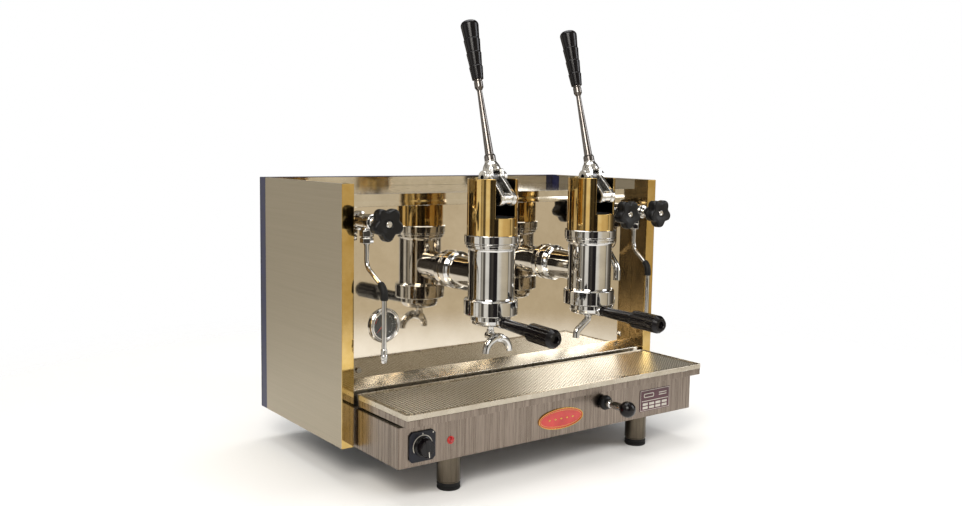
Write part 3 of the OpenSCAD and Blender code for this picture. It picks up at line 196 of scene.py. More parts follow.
def make_materials(colours):
    """Every finish of the machine."""
    # Stainless sheet with a mirror polish: warm grey reflections that bend a little
    polished("mirror_stainless", "#D4CAB9", "#DFD6C7", 0.04, 0.01, 140)
    # The same steel on the sloping ledge and the rim of the grate, wiped daily
    polished("polished_stainless", "#CEC7B9", "#DDD7CB", 0.07, 0.006, 90)
    # Brass sheet, polished and lacquered: deep gold with brown darks
    polished("polished_brass", "#C5A45C", "#DCC083", 0.06, 0.012, 90)
    # The same brass, darker, on the inner faces of the trim: painted shade
    polished("tarnished_brass", "#A2885C", "#AC9266", 0.15, 0.01, 90)
    # Turned brass sleeve, polished: brighter gold than the sheet
    polished("turned_brass", "#CFA860", "#E4C88A", 0.07, 0.02, 40)
    # Chrome plating on cast and turned brass
    polished("chrome_plate", "#C4C3C2", "#D8D7D5", 0.045, 0.015, 30)
    # Ledge under the splash panel, wiped daily: pale, with blurred reflections
    polished("wiped_stainless", "#DCD6C9", "#EAE5DA", 0.2, 0.006, 90)
    # Folded rim of the grate, scuffed by cups
    polished("scuffed_stainless", "#B3AA9A", "#C8C0B1", 0.26, 0.006, 90)
    # Plated castings buffed by hand: pale, with soft wide highlights
    polished("buffed_casting", "#D9D7D2", "#EAE8E4", 0.24, 0.02, 30)
    # Stainless sheet brushed level: warm grey, fine level lines
    brushed("brushed_panel", "#ADA492", "#B9B09E", (0.01, 0.01, 1), 2.6, 0.5, 0.1)
    # Stainless fascia brushed upright; its darker tone also serves as painted shade on the lower band of the grate
    # rim
    brushed("brushed_fascia", "#63584F", "#9C9085", (1, 1, 0.015), 3.2, 0.28)
    # Satin stainless for the top, the basin and the screens
    brushed("satin_stainless", "#E2DDD2", "#EFEBE2", (0.03, 1, 1), 5.0, 0.36, 0.04)
    # Brushed stainless tube of the legs
    brushed("brushed_tube", "#4E473D", "#6E6558", (1, 1, 0.03), 4.0, 0.13, 0.08)
    # Lever rods, darker than the castings: painted reflection of dark surroundings, with soft streaks along the
    # rod
    polished("ground_steel", "#6B6663", "#86817D", 0.2, 0.004, 60)
    # Drawn spring wire and ground piston steel, oiled
    brushed("oiled_steel", "#5E5E60", "#8B8B8C", (1, 1, 0.2), 3.0, 0.33)
    # Copper shell of the boiler, dulled by heat
    polished("dull_copper", "#A8654A", "#C78461", 0.33, 0.05, 30)
    # Drawn brass pipe and fittings, unpolished
    polished("drawn_brass", "#A98743", "#C8A55A", 0.30, 0.05, 20)
    # Basin sheet, dark: painted shade of the drip pan under the grate
    brushed("stained_stainless", "#3E3830", "#57503F", (0.03, 1, 1), 6.0, 0.4, 0.1)
    # Punched hole walls of the grate, in the shade
    brushed("hole_wall", "#5A5347", "#776E5E", (1, 1, 1), 3.0, 0.5, 0.1)
    # Sleeve bore, blackened by grease and painted near-black with the shade inside the sleeve
    brushed("greased_steel", "#15130F", "#2A251C", (1, 1, 0.2), 3.0, 0.35)
    # Black phenolic knobs with a fine moulded grain
    moulded("moulded_knob", "#040405", "#0B0B0E", 0.36, 0.9, 0.12)
    # Gloss black phenolic grips, polished by use
    moulded("gloss_grip", "#040204", "#0C090C", 0.24, 1.4, 0.05, 0.06)
    # Black rubber of the pads, seals and wand sleeves
    moulded("black_rubber", "#060606", "#101010", 0.55, 0.7, 0.2)
    # Dark moulded switch plate
    moulded("switch_plastic", "#0F1018", "#1B1D29", 0.36, 0.8, 0.1)
    # Dark navy stoved paint of the rear cover
    painted("navy_paint", "#16193A", "#1D2149", 0.38)
    # Grey stoved paint of the frame
    painted("grey_paint", "#3C3E42", "#494B50", 0.45)
    # Red vitreous enamel of the badge
    painted("red_enamel", colours[0], "#C92A22", 0.18, 0.6)
    # Dark red printed plate
    painted("maroon_plate", colours[1], "#542030", 0.32, 0.2)
    # Gilt line round the badge
    polished("gilt_line", "#C99B45", "#E0B865", 0.2, 0.02, 10)
    # Silver print on the small plate and the switch
    painted("silver_print", "#B8B2A6", "#CFCABF", 0.35)
    # White print on the dials
    painted("white_print", "#D9D9D4", "#ECECE8", 0.5)
    # Red print on the dials and red needles
    painted("red_print", "#B3211A", "#CF2F25", 0.4)
    # Matt black dial card
    painted("dial_black", "#0C0C0E", "#17171A", 0.5)
    # Red acrylic lens, faceted inside: the brighter red spots in its colour are painted glints of the facets
    tree, shader = material("red_lens", Roughness=0.12, IOR=1.49, Transmission_Weight=0.35, Coat_Weight=0.4)
    feed(tree, shader, Base_Color=ramp(tree, noise(tree, 1 / 2.2), [(0.35, "#8E0A10"), (0.65, "#E8222A")]))
    # Thin float glass over the dials, with a trace of dust
    tree, shader = material("clear_glass", Roughness=0.02, IOR=1.45, Transmission_Weight=1.0)
    feed(tree, shader, Roughness=span_of(tree, noise(tree, 1 / 8, detail=4.0), 0.01, 0.06))
    shader.inputs["Base Color"].default_value = linear("#F6FAFA")


# ---- Mesh helpers, all sizes in millimetres ---------------------------------


def fillet(points, radius, steps=3, closed=False):
    """The corners of a polyline turned into arcs; radius is one number or one per corner."""
    out, count = [], len(points)
    for i, corner in enumerate(points):
        here = Vector(corner)
        r = radius[i] if isinstance(radius, (list, tuple)) else radius
        if r <= 0 or (not closed and i in (0, count - 1)):
            out.append(here)
            continue
        back = Vector(points[i - 1]) - here
        ahead = Vector(points[(i + 1) % count]) - here
        corner_angle = back.angle(ahead)
        if corner_angle > math.radians(176):
            out.append(here)
            continue
        take = min(r / math.tan(corner_angle / 2), 0.48 * back.length, 0.48 * ahead.length)
        start, end = here + back.normalized() * take, here + ahead.normalized() * take
        for k in range(steps + 1):
            t = k / steps
            out.append(start * (1 - t) ** 2 + here * 2 * t * (1 - t) + end * t ** 2)
    return out


def stitch(bm, low, high):
    """Quads between two rings of vertices; a ring of one vertex is a pole."""
    count = max(len(low), len(high))
    for j in range(count):
        k = (j + 1) % count
        corners = [low[j % len(low)], low[k % len(low)], high[k % len(high)], high[j % len(high)]]
        corners = list(dict.fromkeys(corners))
        if len(corners) > 2:
            bm.faces.new(corners)


def full_turn(count):
    """As many angles in radians, evenly spread round a circle."""
    return [2 * math.pi * j / count for j in range(count)]


def arc(r, degrees, x=0, y=0):
    """Points of a circle about (x, y) at the given angles."""
    return [(x + r * math.cos(math.radians(a)), y + r * math.sin(math.radians(a))) for a in degrees]


def ring(bm, r, z, count):
    """Circle of vertices round Z."""
    return [bm.verts.new((r * MM * math.cos(a), r * MM * math.sin(a), z * MM)) for a in full_turn(count)]


def lathe(profile, segments=96, closed=False):
    """Solid of revolution about Z through (radius, height) points."""
    bm = bmesh.new()
    rings = [[bm.verts.new((0, 0, z * MM))] if r < 1e-6 else ring(bm, r, z, segments)
             for r, z in profile]
    for low, high in zip(rings, rings[1:] + (rings[:1] if closed else [])):
        stitch(bm, low, high)
    return bm


def sweep(path, radius, sides=24, mouth=None):
    """Round tube along points; radius is one number or one per point, mouth the bore and depth of its end."""
    points = [Vector(p) for p in path]
    radii = radius if isinstance(radius, (list, tuple)) else [radius] * len(points)
    bm = bmesh.new()
    rings, across = [], None
    for i, (p, r) in enumerate(zip(points, radii)):
        along = (points[min(i + 1, len(points) - 1)] - points[max(i - 1, 0)]).normalized()
        across = along.orthogonal() if across is None else across - along * across.dot(along)
        across.normalize()
        up = along.cross(across)
        spokes = [across * math.cos(a) + up * math.sin(a) for a in full_turn(sides)]
        rings.append([bm.verts.new((p + s * r) * MM) for s in spokes])
    if mouth:
        bore, depth = mouth
        rings.append([bm.verts.new((points[-1] + s * bore) * MM) for s in spokes])
        rings.append([bm.verts.new((points[-1] - along * depth + s * bore) * MM) for s in spokes])
    for low, high in zip(rings, rings[1:]):
        stitch(bm, low, high)
    bm.faces.new(rings[0])
    bm.faces.new(rings[-1])
    return bm


def slab(outline, low, high, hole=None):
    """Prism of an outline in the XY plane between two heights, with an optional hole of as many points."""
    bm = bmesh.new()
    loops = [[bm.verts.new((x * MM, y * MM, z * MM)) for x, y in line]
             for line in ([outline, hole] if hole else [outline]) for z in (low, high)]
    stitch(bm, loops[0], loops[1])
    if hole:
        stitch(bm, loops[2], loops[3])
        stitch(bm, loops[0], loops[2])
        stitch(bm, loops[1], loops[3])
    else:
        bm.faces.new(loops[0])
        bm.faces.new(loops[1])
    return bm


def block(low, high):
    """Box between two corners."""
    outline = [(low[0], low[1]), (high[0], low[1]), (high[0], high[1]), (low[0], high[1])]
    return slab(outline, low[2], high[2])


def oval(width, height, count=72):
    return [(width / 2 * math.cos(a), height / 2 * math.sin(a)) for a in full_turn(count)]


def circle(r, count):
    return oval(2 * r, 2 * r, count)


def rounded_box(width, height, radius, steps=5):
    """Outline of a rectangle with round corners, centred on the origin."""
    w, h = width / 2, height / 2
    return fillet([(-w, -h), (w, -h), (w, h), (-w, h)], radius, steps, closed=True)


def soften(bm, width, segments=2, angle=30):
    """Rounds the edges that are sharper than an angle."""
    bmesh.ops.remove_doubles(bm, verts=bm.verts, dist=1e-7)
    bmesh.ops.recalc_face_normals(bm, faces=bm.faces)
    sharp = [e for e in bm.edges if e.is_manifold and e.calc_face_angle(0) > math.radians(angle)]
    bmesh.ops.bevel(bm, geom=sharp, offset=width * MM, segments=segments, profile=0.5, affect="EDGES",
                    clamp_overlap=True)
    return bm


def cut_off(bm, y, way):
    """Takes off what lies behind a level of y in millimetres (way 1) or before it (way -1)."""
    bmesh.ops.bisect_plane(bm, geom=bm.verts[:] + bm.edges[:] + bm.faces[:],
                           plane_co=(0, y * MM, 0), plane_no=(0, way, 0), clear_outer=True)
    bmesh.ops.holes_fill(bm, edges=[e for e in bm.edges if e.is_boundary])


def joined(*parts):
    """Several meshes as one."""
    whole = parts[0]
    for part in parts[1:]:
        loose = bpy.data.meshes.new("loose")
        part.to_mesh(loose)
        part.free()
        whole.from_mesh(loose)
        bpy.data.meshes.remove(loose)
    return whole


def moved(bm, matrix):
    bmesh.ops.transform(bm, matrix=matrix, verts=bm.verts)
    return bm


def at(x=0, y=0, z=0):
    return Matrix.Translation((x * MM, y * MM, z * MM))


def turn(axis, degrees):
    return Matrix.Rotation(math.radians(degrees), 4, axis)


# Turns of an outline drawn in XY: to face the front, and to stand in YZ
FRONTWARDS = turn("X", 90)
SIDEWAYS = Matrix(((0, 0, 1, 0), (1, 0, 0, 0), (0, 1, 0, 0), (0, 0, 0, 1)))


def new_object(name, data):
    made = bpy.data.objects.new(name, data)
    bpy.context.scene.collection.objects.link(made)
    return made


def copy_of(name):
    """Merged copy of a CAD node's mesh with its flat faces made whole again."""
    bm = bmesh.new()
    bm.from_mesh(frame["nodes"][name].data)
    bmesh.ops.remove_doubles(bm, verts=bm.verts, dist=1e-6)
    bmesh.ops.dissolve_limit(bm, angle_limit=math.radians(0.5), verts=bm.verts, edges=bm.edges)
    return bm


def piece(name, bm, finish, like, replaces=(), smooth=35):
    """A finished object that rides on the body of the CAD node it is like and hides the CAD nodes it replaces."""
    bmesh.ops.remove_doubles(bm, verts=bm.verts, dist=1e-7)
    bmesh.ops.recalc_face_normals(bm, faces=bm.faces)
    mesh = bpy.data.meshes.new(name)
    bm.to_mesh(mesh)
    bm.free()
    mesh.polygons.foreach_set("use_smooth", [True] * len(mesh.polygons))
    mesh.set_sharp_from_angle(angle=math.radians(smooth))
    mesh.materials.append(MATERIALS[finish])
    made = new_object(name, mesh)
    # Large faces keep their own direction, so that sheets mirror straight and walls stay true cylinders
    made.modifiers.new("weigh", "WEIGHTED_NORMAL").keep_sharp = True
    made = settled(made)
    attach(made, body_of(like))
    if replaces:
        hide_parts(*replaces)
    return made


def body_of(node):
    return next(name for name, nodes in BODY_NODES.items() if node in nodes)


def mm_box(node):
    """Lowest and highest corner of a CAD node in millimetres."""
    low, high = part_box(node)
    return low / MM, high / MM


def middle(node):
    low, high = mm_box(node)
    return (low + high) / 2


def repaint(finish, *nodes):
    """Gives CAD nodes that keep their own mesh a finish."""
    for name in nodes:
        mesh = frame["nodes"][name].data
        mesh.materials.clear()
        mesh.materials.append(MATERIALS[finish])


BODY_NODES = frame["record"]["behaviour"]["bodies"]
JOINTS = {joint["name"]: joint for joint in frame["joints"]}


# ---- Sizes and colours that a user would change -----------------------------


def length(name, description, mm):
    return FloatProperty(name=name, description=description, default=mm * MM, min=0, unit="LENGTH",
                         subtype="DISTANCE", precision=4)


class MachineSizes(bpy.types.PropertyGroup):
    """Sizes of the fine work."""

    sheet_edge: length("Sheet edge", "Radius on the edges of the sheet metal", 0.5)
    cast_edge: length("Cast edge", "Radius on the edges of cast and turned parts", 1.4)
    hole: length("Hole", "Diameter of the holes in the grate", 3.8)
    pitch: length("Hole pitch", "Distance between the holes in the grate from left to right", 6.6)
    row_pitch: length("Row pitch", "Distance between the holes in the grate from front to back", 5.2)
    margin: length("Grate margin", "Plain strip around the holes in the grate", 9.0)
    screw: length("Screw head", "Diameter of the case screws", 7.0)
    lobes: IntProperty(name="Knob lobes", description="Lobes of a star knob", default=5, min=3, max=8)


class MachineColours(bpy.types.PropertyGroup):
    """Colours of the two plates."""

    badge: FloatVectorProperty(name="Badge", description="Enamel of the oval badge", subtype="COLOR",
                               default=linear("#B31B16")[:3], min=0, max=1)
    plate: FloatVectorProperty(name="Plate", description="Ground of the small plate", subtype="COLOR",
                               default=linear("#43141F")[:3], min=0, max=1)


def sizes():
    return bpy.context.scene.espresso_sizes


def mm(value):
    return value / MM


# ---- Stage -------------------------------------------------------------------

CAMERA_PLACE = (-1.0726, -1.3713, 0.5505)
CAMERA_AZIMUTH = -36.035
CAMERA_ELEVATION = 6.023
CAMERA_ROLL = 0.855
CAMERA_LENS = 36.247
CAMERA_SHIFT = (0.0076, -0.0067)

# Area lamps: name, place in metres, size, power in watts, colour
LAMPS = (
    ("key", (-1.9, -1.7, 2.2), (1.4, 1.4), 62, "#FFFAF2"),
    ("fill", (2.1, -1.6, 1.4), (1.0, 1.8), 26, "#F6F9FF"),
    ("top", (0.1, 0.4, 2.6), (2.0, 1.6), 34, "#FFFFFF"),
)


class ESPRESSO_OT_stage(bpy.types.Operator):
    """Makes the floor, the studio light, the background and the camera"""

    bl_idname = "espresso.stage"
    bl_label = "Stage"

    def execute(self, context):
        scene = bpy.context.scene
        scene.view_settings.view_transform = "Standard"
        self.camera(scene)
        self.floor()
        self.world(scene)
        for name, place, size, power, tint in LAMPS:
            lamp = bpy.data.lights.new(name, "AREA")
            lamp.shape, lamp.size, lamp.size_y = "RECTANGLE", *size
            lamp.energy, lamp.color = power, linear(tint)[:3]
            holder = new_object(name, lamp)
            holder.location = place
            aim = Vector((0, 0, 0.25)) - Vector(place)
            holder.rotation_euler = aim.to_track_quat("-Z", "Y").to_euler()
            holder.visible_camera = False
        return {"FINISHED"}

    def camera(self, scene):
        a, e, r = (math.radians(v) for v in (CAMERA_AZIMUTH, CAMERA_ELEVATION, CAMERA_ROLL))
        back = Vector((math.sin(a) * math.cos(e), -math.cos(a) * math.cos(e), math.sin(e)))
        right = (-back).cross(Vector((0, 0, 1))).normalized()
        up = right.cross(-back)
        x_axis = right * math.cos(r) + up * math.sin(r)
        y_axis = up * math.cos(r) - right * math.sin(r)
        data = bpy.data.cameras.new("camera")
        data.lens, data.sensor_width = CAMERA_LENS, 36
        data.shift_x, data.shift_y = CAMERA_SHIFT
        camera = new_object("camera", data)
        axes = Matrix((x_axis, y_axis, back)).transposed().to_4x4()
        camera.matrix_world = Matrix.Translation(CAMERA_PLACE) @ axes
        scene.camera = camera

    def floor(self):
        """Pale studio floor that fades out with distance, so that it has no edge."""
        made = bpy.data.materials.new("studio_floor")
        tree = cleared(made)
        place = add(tree, "ShaderNodeTexCoord").outputs["Object"]
        distance = add(tree, "ShaderNodeVectorMath", {0: place}, operation="LENGTH").outputs["Value"]
        fade = add(tree, "ShaderNodeMapRange", {
            "Value": distance, "From Min": 0.75, "From Max": 1.5,
        }, interpolation_type="SMOOTHSTEP").outputs["Result"]
        pale = add(tree, "ShaderNodeBsdfDiffuse", {"Color": linear("#F4F3F1")}).outputs["BSDF"]
        clear = add(tree, "ShaderNodeBsdfTransparent").outputs["BSDF"]
        mixed = add(tree, "ShaderNodeMixShader", {"Fac": fade, 1: pale, 2: clear}).outputs["Shader"]
        add(tree, "ShaderNodeOutputMaterial", {"Surface": mixed})
        mesh = bpy.data.meshes.new("floor")
        mesh.from_pydata([(-2, -2, 0), (2, -2, 0), (2, 2, 0), (-2, 2, 0)], [], [(0, 1, 2, 3)])
        mesh.materials.append(made)
        new_object("floor", mesh)

    def world(self, scene):
        """White behind the object; a soft room, lighter above, is what metal reflects."""
        world = bpy.data.worlds.new("studio")
        scene.world = world
        tree = cleared(world)
        way = add(tree, "ShaderNodeTexCoord").outputs["Generated"]
        height = add(tree, "ShaderNodeSeparateXYZ", {"Vector": way}).outputs["Z"]
        share = add(tree, "ShaderNodeMapRange", {
            "Value": height, "From Min": -1.0, "From Max": 1.0,
        }).outputs["Result"]
        room = ramp(tree, share, [
            (0.0, "#B5AC9C"), (0.35, "#D2CABC"), (0.40, "#F2EDE3"), (0.60, "#FBF8F2"),
            (0.65, "#B4AFA6"), (0.90, "#9C978F"), (0.95, "#FFFFFF"), (1.0, "#FFFFFF"),
        ])
        around = add(tree, "ShaderNodeTexGradient", {"Vector": way}, gradient_type="RADIAL").outputs["Fac"]
        # Window light and dark furniture by turns round the room; a pale wall faces the front panel
        bars = ramp(tree, around, [
            (0.000, "#6E6A66"), (0.025, "#D8D4CC"), (0.040, "#5A5754"), (0.062, "#6E6A66"),
            (0.070, "#FFFFFF"), (0.112, "#FFFFFF"), (0.122, "#2A282C"), (0.165, "#55524F"),
            (0.180, "#2A272A"), (0.224, "#252326"), (0.232, "#FFFFFF"), (0.270, "#F6F3EC"),
            (0.295, "#E6DDCB"), (0.350, "#DED4C0"), (0.390, "#CFC4AE"), (0.400, "#2E2B28"),
            (0.412, "#E8E4DC"), (0.450, "#8C8680"), (0.480, "#5E5952"), (0.560, "#3A3733"),
            (0.640, "#C9C3B8"), (0.700, "#A8A296"), (0.735, "#4A4744"), (0.785, "#6E6A66"),
            (0.800, "#FBF8F2"), (0.862, "#FBF8F2"), (0.870, "#4A4846"), (0.903, "#55534F"),
            (0.915, "#FFFFFF"), (0.985, "#FFFFFF"),
        ])
        room_colour = add(tree, "ShaderNodeMix", {0: 1.0, 6: room, 7: bars}, data_type="RGBA",
                          blend_type="MULTIPLY")
        rays = add(tree, "ShaderNodeLightPath")
        mirrored = add(tree, "ShaderNodeMath", {
            0: rays.outputs["Is Glossy Ray"], 1: rays.outputs["Is Transmission Ray"],
        }, operation="MAXIMUM").outputs["Value"]
        seen = add(tree, "ShaderNodeBackground", {
            "Color": (1, 1, 1, 1), "Strength": 1.0,
        }).outputs["Background"]
        shine = add(tree, "ShaderNodeBackground", {
            "Color": room_colour.outputs[2], "Strength": 1.0,
        }).outputs["Background"]
        ambient = add(tree, "ShaderNodeBackground", {
            "Color": linear("#FBFAF7"), "Strength": 0.55,
        }).outputs["Background"]
        lit = add(tree, "ShaderNodeMixShader", {"Fac": mirrored, 1: ambient, 2: shine}).outputs["Shader"]
        whole = add(tree, "ShaderNodeMixShader", {
            "Fac": rays.outputs["Is Camera Ray"], 1: lit, 2: seen,
        }).outputs["Shader"]
        add(tree, "ShaderNodeOutputWorld", {"Surface": whole})


# ---- Case --------------------------------------------------------------------


class ESPRESSO_OT_finishes(bpy.types.Operator):
    """Makes every material and paints the parts that keep their own mesh"""

    bl_idname = "espresso.finishes"
    bl_label = "Finishes"

    def execute(self, context):
        colours = bpy.context.scene.espresso_colours
        make_materials((colours.badge, colours.plate))
        repaint("grey_paint", "base_frame")
        # The drip pan is painted dark for the shade it sits in under the grate
        repaint("stained_stainless", "drip_pan")
        repaint("satin_stainless", "shower_screens", "heating_element")
        repaint("dull_copper", "boiler")
        repaint("drawn_brass", "boiler_pipework")
        repaint("moulded_knob", "cable_gland")
        repaint("black_rubber", "group_seals")
        repaint("oiled_steel", "left_piston", "right_piston")
        repaint("red_print", "left_gauge_needle", "right_gauge_needle")
        return {"FINISHED"}


# Depth of the rear cover's flanges along the sides, and height of its screw heads, in millimetres
WRAP = 26.0
HEAD = 1.95


class ESPRESSO_OT_case(bpy.types.Operator):
    """Makes the sheet-metal panels of the case with softened edges"""

    bl_idname = "espresso.case"
    bl_label = "Case Panels"

    def execute(self, context):
        edge = mm(sizes().sheet_edge)
        sheets = {
            "left_side_panel": "brushed_panel", "right_side_panel": "brushed_panel",
            "brass_trims": "polished_brass", "rear_cover": "navy_paint", "splash_panel": "mirror_stainless",
            "cup_tray": "polished_stainless", "splash_ledge": "wiped_stainless",
            "drip_box": "brushed_fascia",
        }
        for node, finish in sheets.items():
            sheet = copy_of(node)
            if finish == "brushed_panel":
                # The rear cover wraps round the rear edges of the side panels
                cut_off(sheet, mm_box("rear_cover")[1].y - WRAP, 1)
            if node == "rear_cover":
                self.set_in(sheet, mm_box(node)[1].y)
            piece(f"{node}_sheet", soften(sheet, edge), finish, node, [node])
        self.wraps()
        self.returns()
        self.lining()
        self.tray_lip()
        return {"FINISHED"}

    def set_in(self, sheet, back):
        """Moves the rear sheet in by the height of the screw heads that stand on it."""
        for v in sheet.verts:
            if v.co.y > (back - 3) * MM:
                v.co.y -= HEAD * MM

    def wraps(self):
        """Flanges of the rear cover, folded round the rear edges of the side panels."""
        back = mm_box("rear_cover")[1].y - HEAD
        flanges = []
        for side in SIDES:
            low, high = mm_box(f"{side}_side_panel")
            x = sorted((low.x, low.x + 1.4) if side == "left" else (high.x - 1.4, high.x))
            flanges.append(soften(block((x[0], back - WRAP + 0.4, low.z), (x[1], back, high.z)), 0.5))
        piece("rear_cover_flanges", joined(*flanges), "navy_paint", "rear_cover")

    def returns(self):
        """Skin of darker brass on the inner faces of the brass trims: painted shade."""
        low, high = mm_box("brass_trims")
        skins = []
        for side in (-1, 1):
            inner = high.x - 21.5
            x = sorted((side * inner, side * (inner - 0.25)))
            skins.append(block((x[0], low.y + 2, low.z + 1), (x[1], high.y - 0.3, high.z - 1)))
        # The inner faces of the trims take a darker brass: painted shade of the recess
        piece("trim_returns", joined(*skins), "tarnished_brass", "brass_trims")

    def lining(self):
        """Plain steel lining of the rear cover above the cup tray."""
        low, high = mm_box("rear_cover")
        tray = mm_box("cup_tray")[1].z
        back = high.y - 1.5 - HEAD
        skin = block((low.x + 1.6, back - 0.4, tray - 4), (high.x - 1.6, back, high.z - 1.6))
        piece("rear_lining", skin, "polished_stainless", "rear_cover")

    def tray_lip(self):
        """Front edge of the cup tray, folded down over the splash panel and leaning a little outwards."""
        low, high = mm_box("splash_panel")
        drop, lean, top = 18.0, 4.6, high.z - 0.8
        bow = [(low.y - lean * math.sin(math.radians(a)),
                top - drop * (1 - math.cos(math.radians(a))) * 0.98)
               for a in range(0, 91, 6)]
        outline = bow + [(low.y - lean + 0.3, top - drop), (low.y - 0.05, top - drop), (low.y - 0.05, top)]
        strip = slab(outline, low.x + 2, high.x - 2)
        piece("tray_lip", moved(strip, SIDEWAYS), "polished_stainless", "cup_tray")


def screw_field(name, places, across, outwards, like):
    """Plain pan-head screws set by a Geometry Nodes tree on points given in millimetres."""
    head_r = across / 2
    cap = lathe(fillet([(0, head_r * 0.55), (head_r * 0.8, head_r * 0.5), (head_r, head_r * 0.2),
                        (head_r, 0), (0, 0)], head_r * 0.2), segments=16)
    cap_mesh = bpy.data.meshes.new(f"{name}_cap")
    cap.to_mesh(cap_mesh)
    cap.free()
    cap_mesh.polygons.foreach_set("use_smooth", [True] * len(cap_mesh.polygons))
    head = new_object(f"{name}_cap", cap_mesh)
    points = bpy.data.meshes.new(name)
    points.from_pydata([tuple(c * MM for c in p) for p in places], [], [])
    holder = new_object(name, points)
    tree = bpy.data.node_groups.new(name, "GeometryNodeTree")
    tree.interface.new_socket("Geometry", in_out="INPUT", socket_type="NodeSocketGeometry")
    turned = tree.interface.new_socket("Facing", in_out="INPUT", socket_type="NodeSocketRotation")
    tree.interface.new_socket("Geometry", in_out="OUTPUT", socket_type="NodeSocketGeometry")
    entry = add(tree, "NodeGroupInput")
    shape = add(tree, "GeometryNodeObjectInfo", {"Object": head}).outputs["Geometry"]
    rows = add(tree, "GeometryNodeInstanceOnPoints", {
        "Points": entry.outputs["Geometry"], "Instance": shape, "Rotation": entry.outputs["Facing"],
    }).outputs["Instances"]
    real = add(tree, "GeometryNodeRealizeInstances", {"Geometry": rows}).outputs["Geometry"]
    done = add(tree, "GeometryNodeSetMaterial", {
        "Geometry": real, "Material": MATERIALS["chrome_plate"],
    }).outputs["Geometry"]
    add(tree, "NodeGroupOutput", {"Geometry": done})
    modifier = holder.modifiers.new("screws", "NODES")
    modifier.node_group = tree
    modifier[turned.identifier] = outwards
    made = settled(holder)
    bpy.data.objects.remove(head)
    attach(made, body_of(like))


def settled(holder):
    """The evaluated result of an object's modifiers as its plain mesh."""
    graph = bpy.context.evaluated_depsgraph_get()
    result = bpy.data.meshes.new_from_object(holder.evaluated_get(graph))
    holder.modifiers.clear()
    holder.data = result
    result.name = holder.name
    return holder


class ESPRESSO_OT_screws(bpy.types.Operator):
    """Sets the screws of the rear cover and the hexagon bolts of the splash panel"""

    bl_idname = "espresso.screws"
    bl_label = "Screws"

    def execute(self, context):
        across = mm(sizes().screw)
        low, high = mm_box("rear_cover")
        inset = 14
        rows = [low.z + inset, (low.z + high.z) / 2, high.z - inset]
        seat = high.y - HEAD
        places = [(x, seat, z) for x in (low.x + inset, high.x - inset) for z in rows]
        places += [(x, seat, z) for x in (-110, 110) for z in (rows[0], rows[2])]
        screw_field("rear_cover_screws", places, across, (math.radians(-90), 0, 0), "rear_cover")
        low, high = mm_box("panel_screws")
        y, z, t = low.y, (low.z + high.z) / 2, 4
        bolts = []
        for x in (low.x + 5, high.x - 5):
            hexagon = soften(slab(circle(5, 6), 0, t), 0.5)
            bolts.append(moved(hexagon, at(x, y + t, z) @ FRONTWARDS))
        piece("splash_bolts", joined(*bolts), "chrome_plate", "panel_screws", ["panel_screws"])
        return {"FINISHED"}


# ---- Drip box ------------------------------------------------------------------


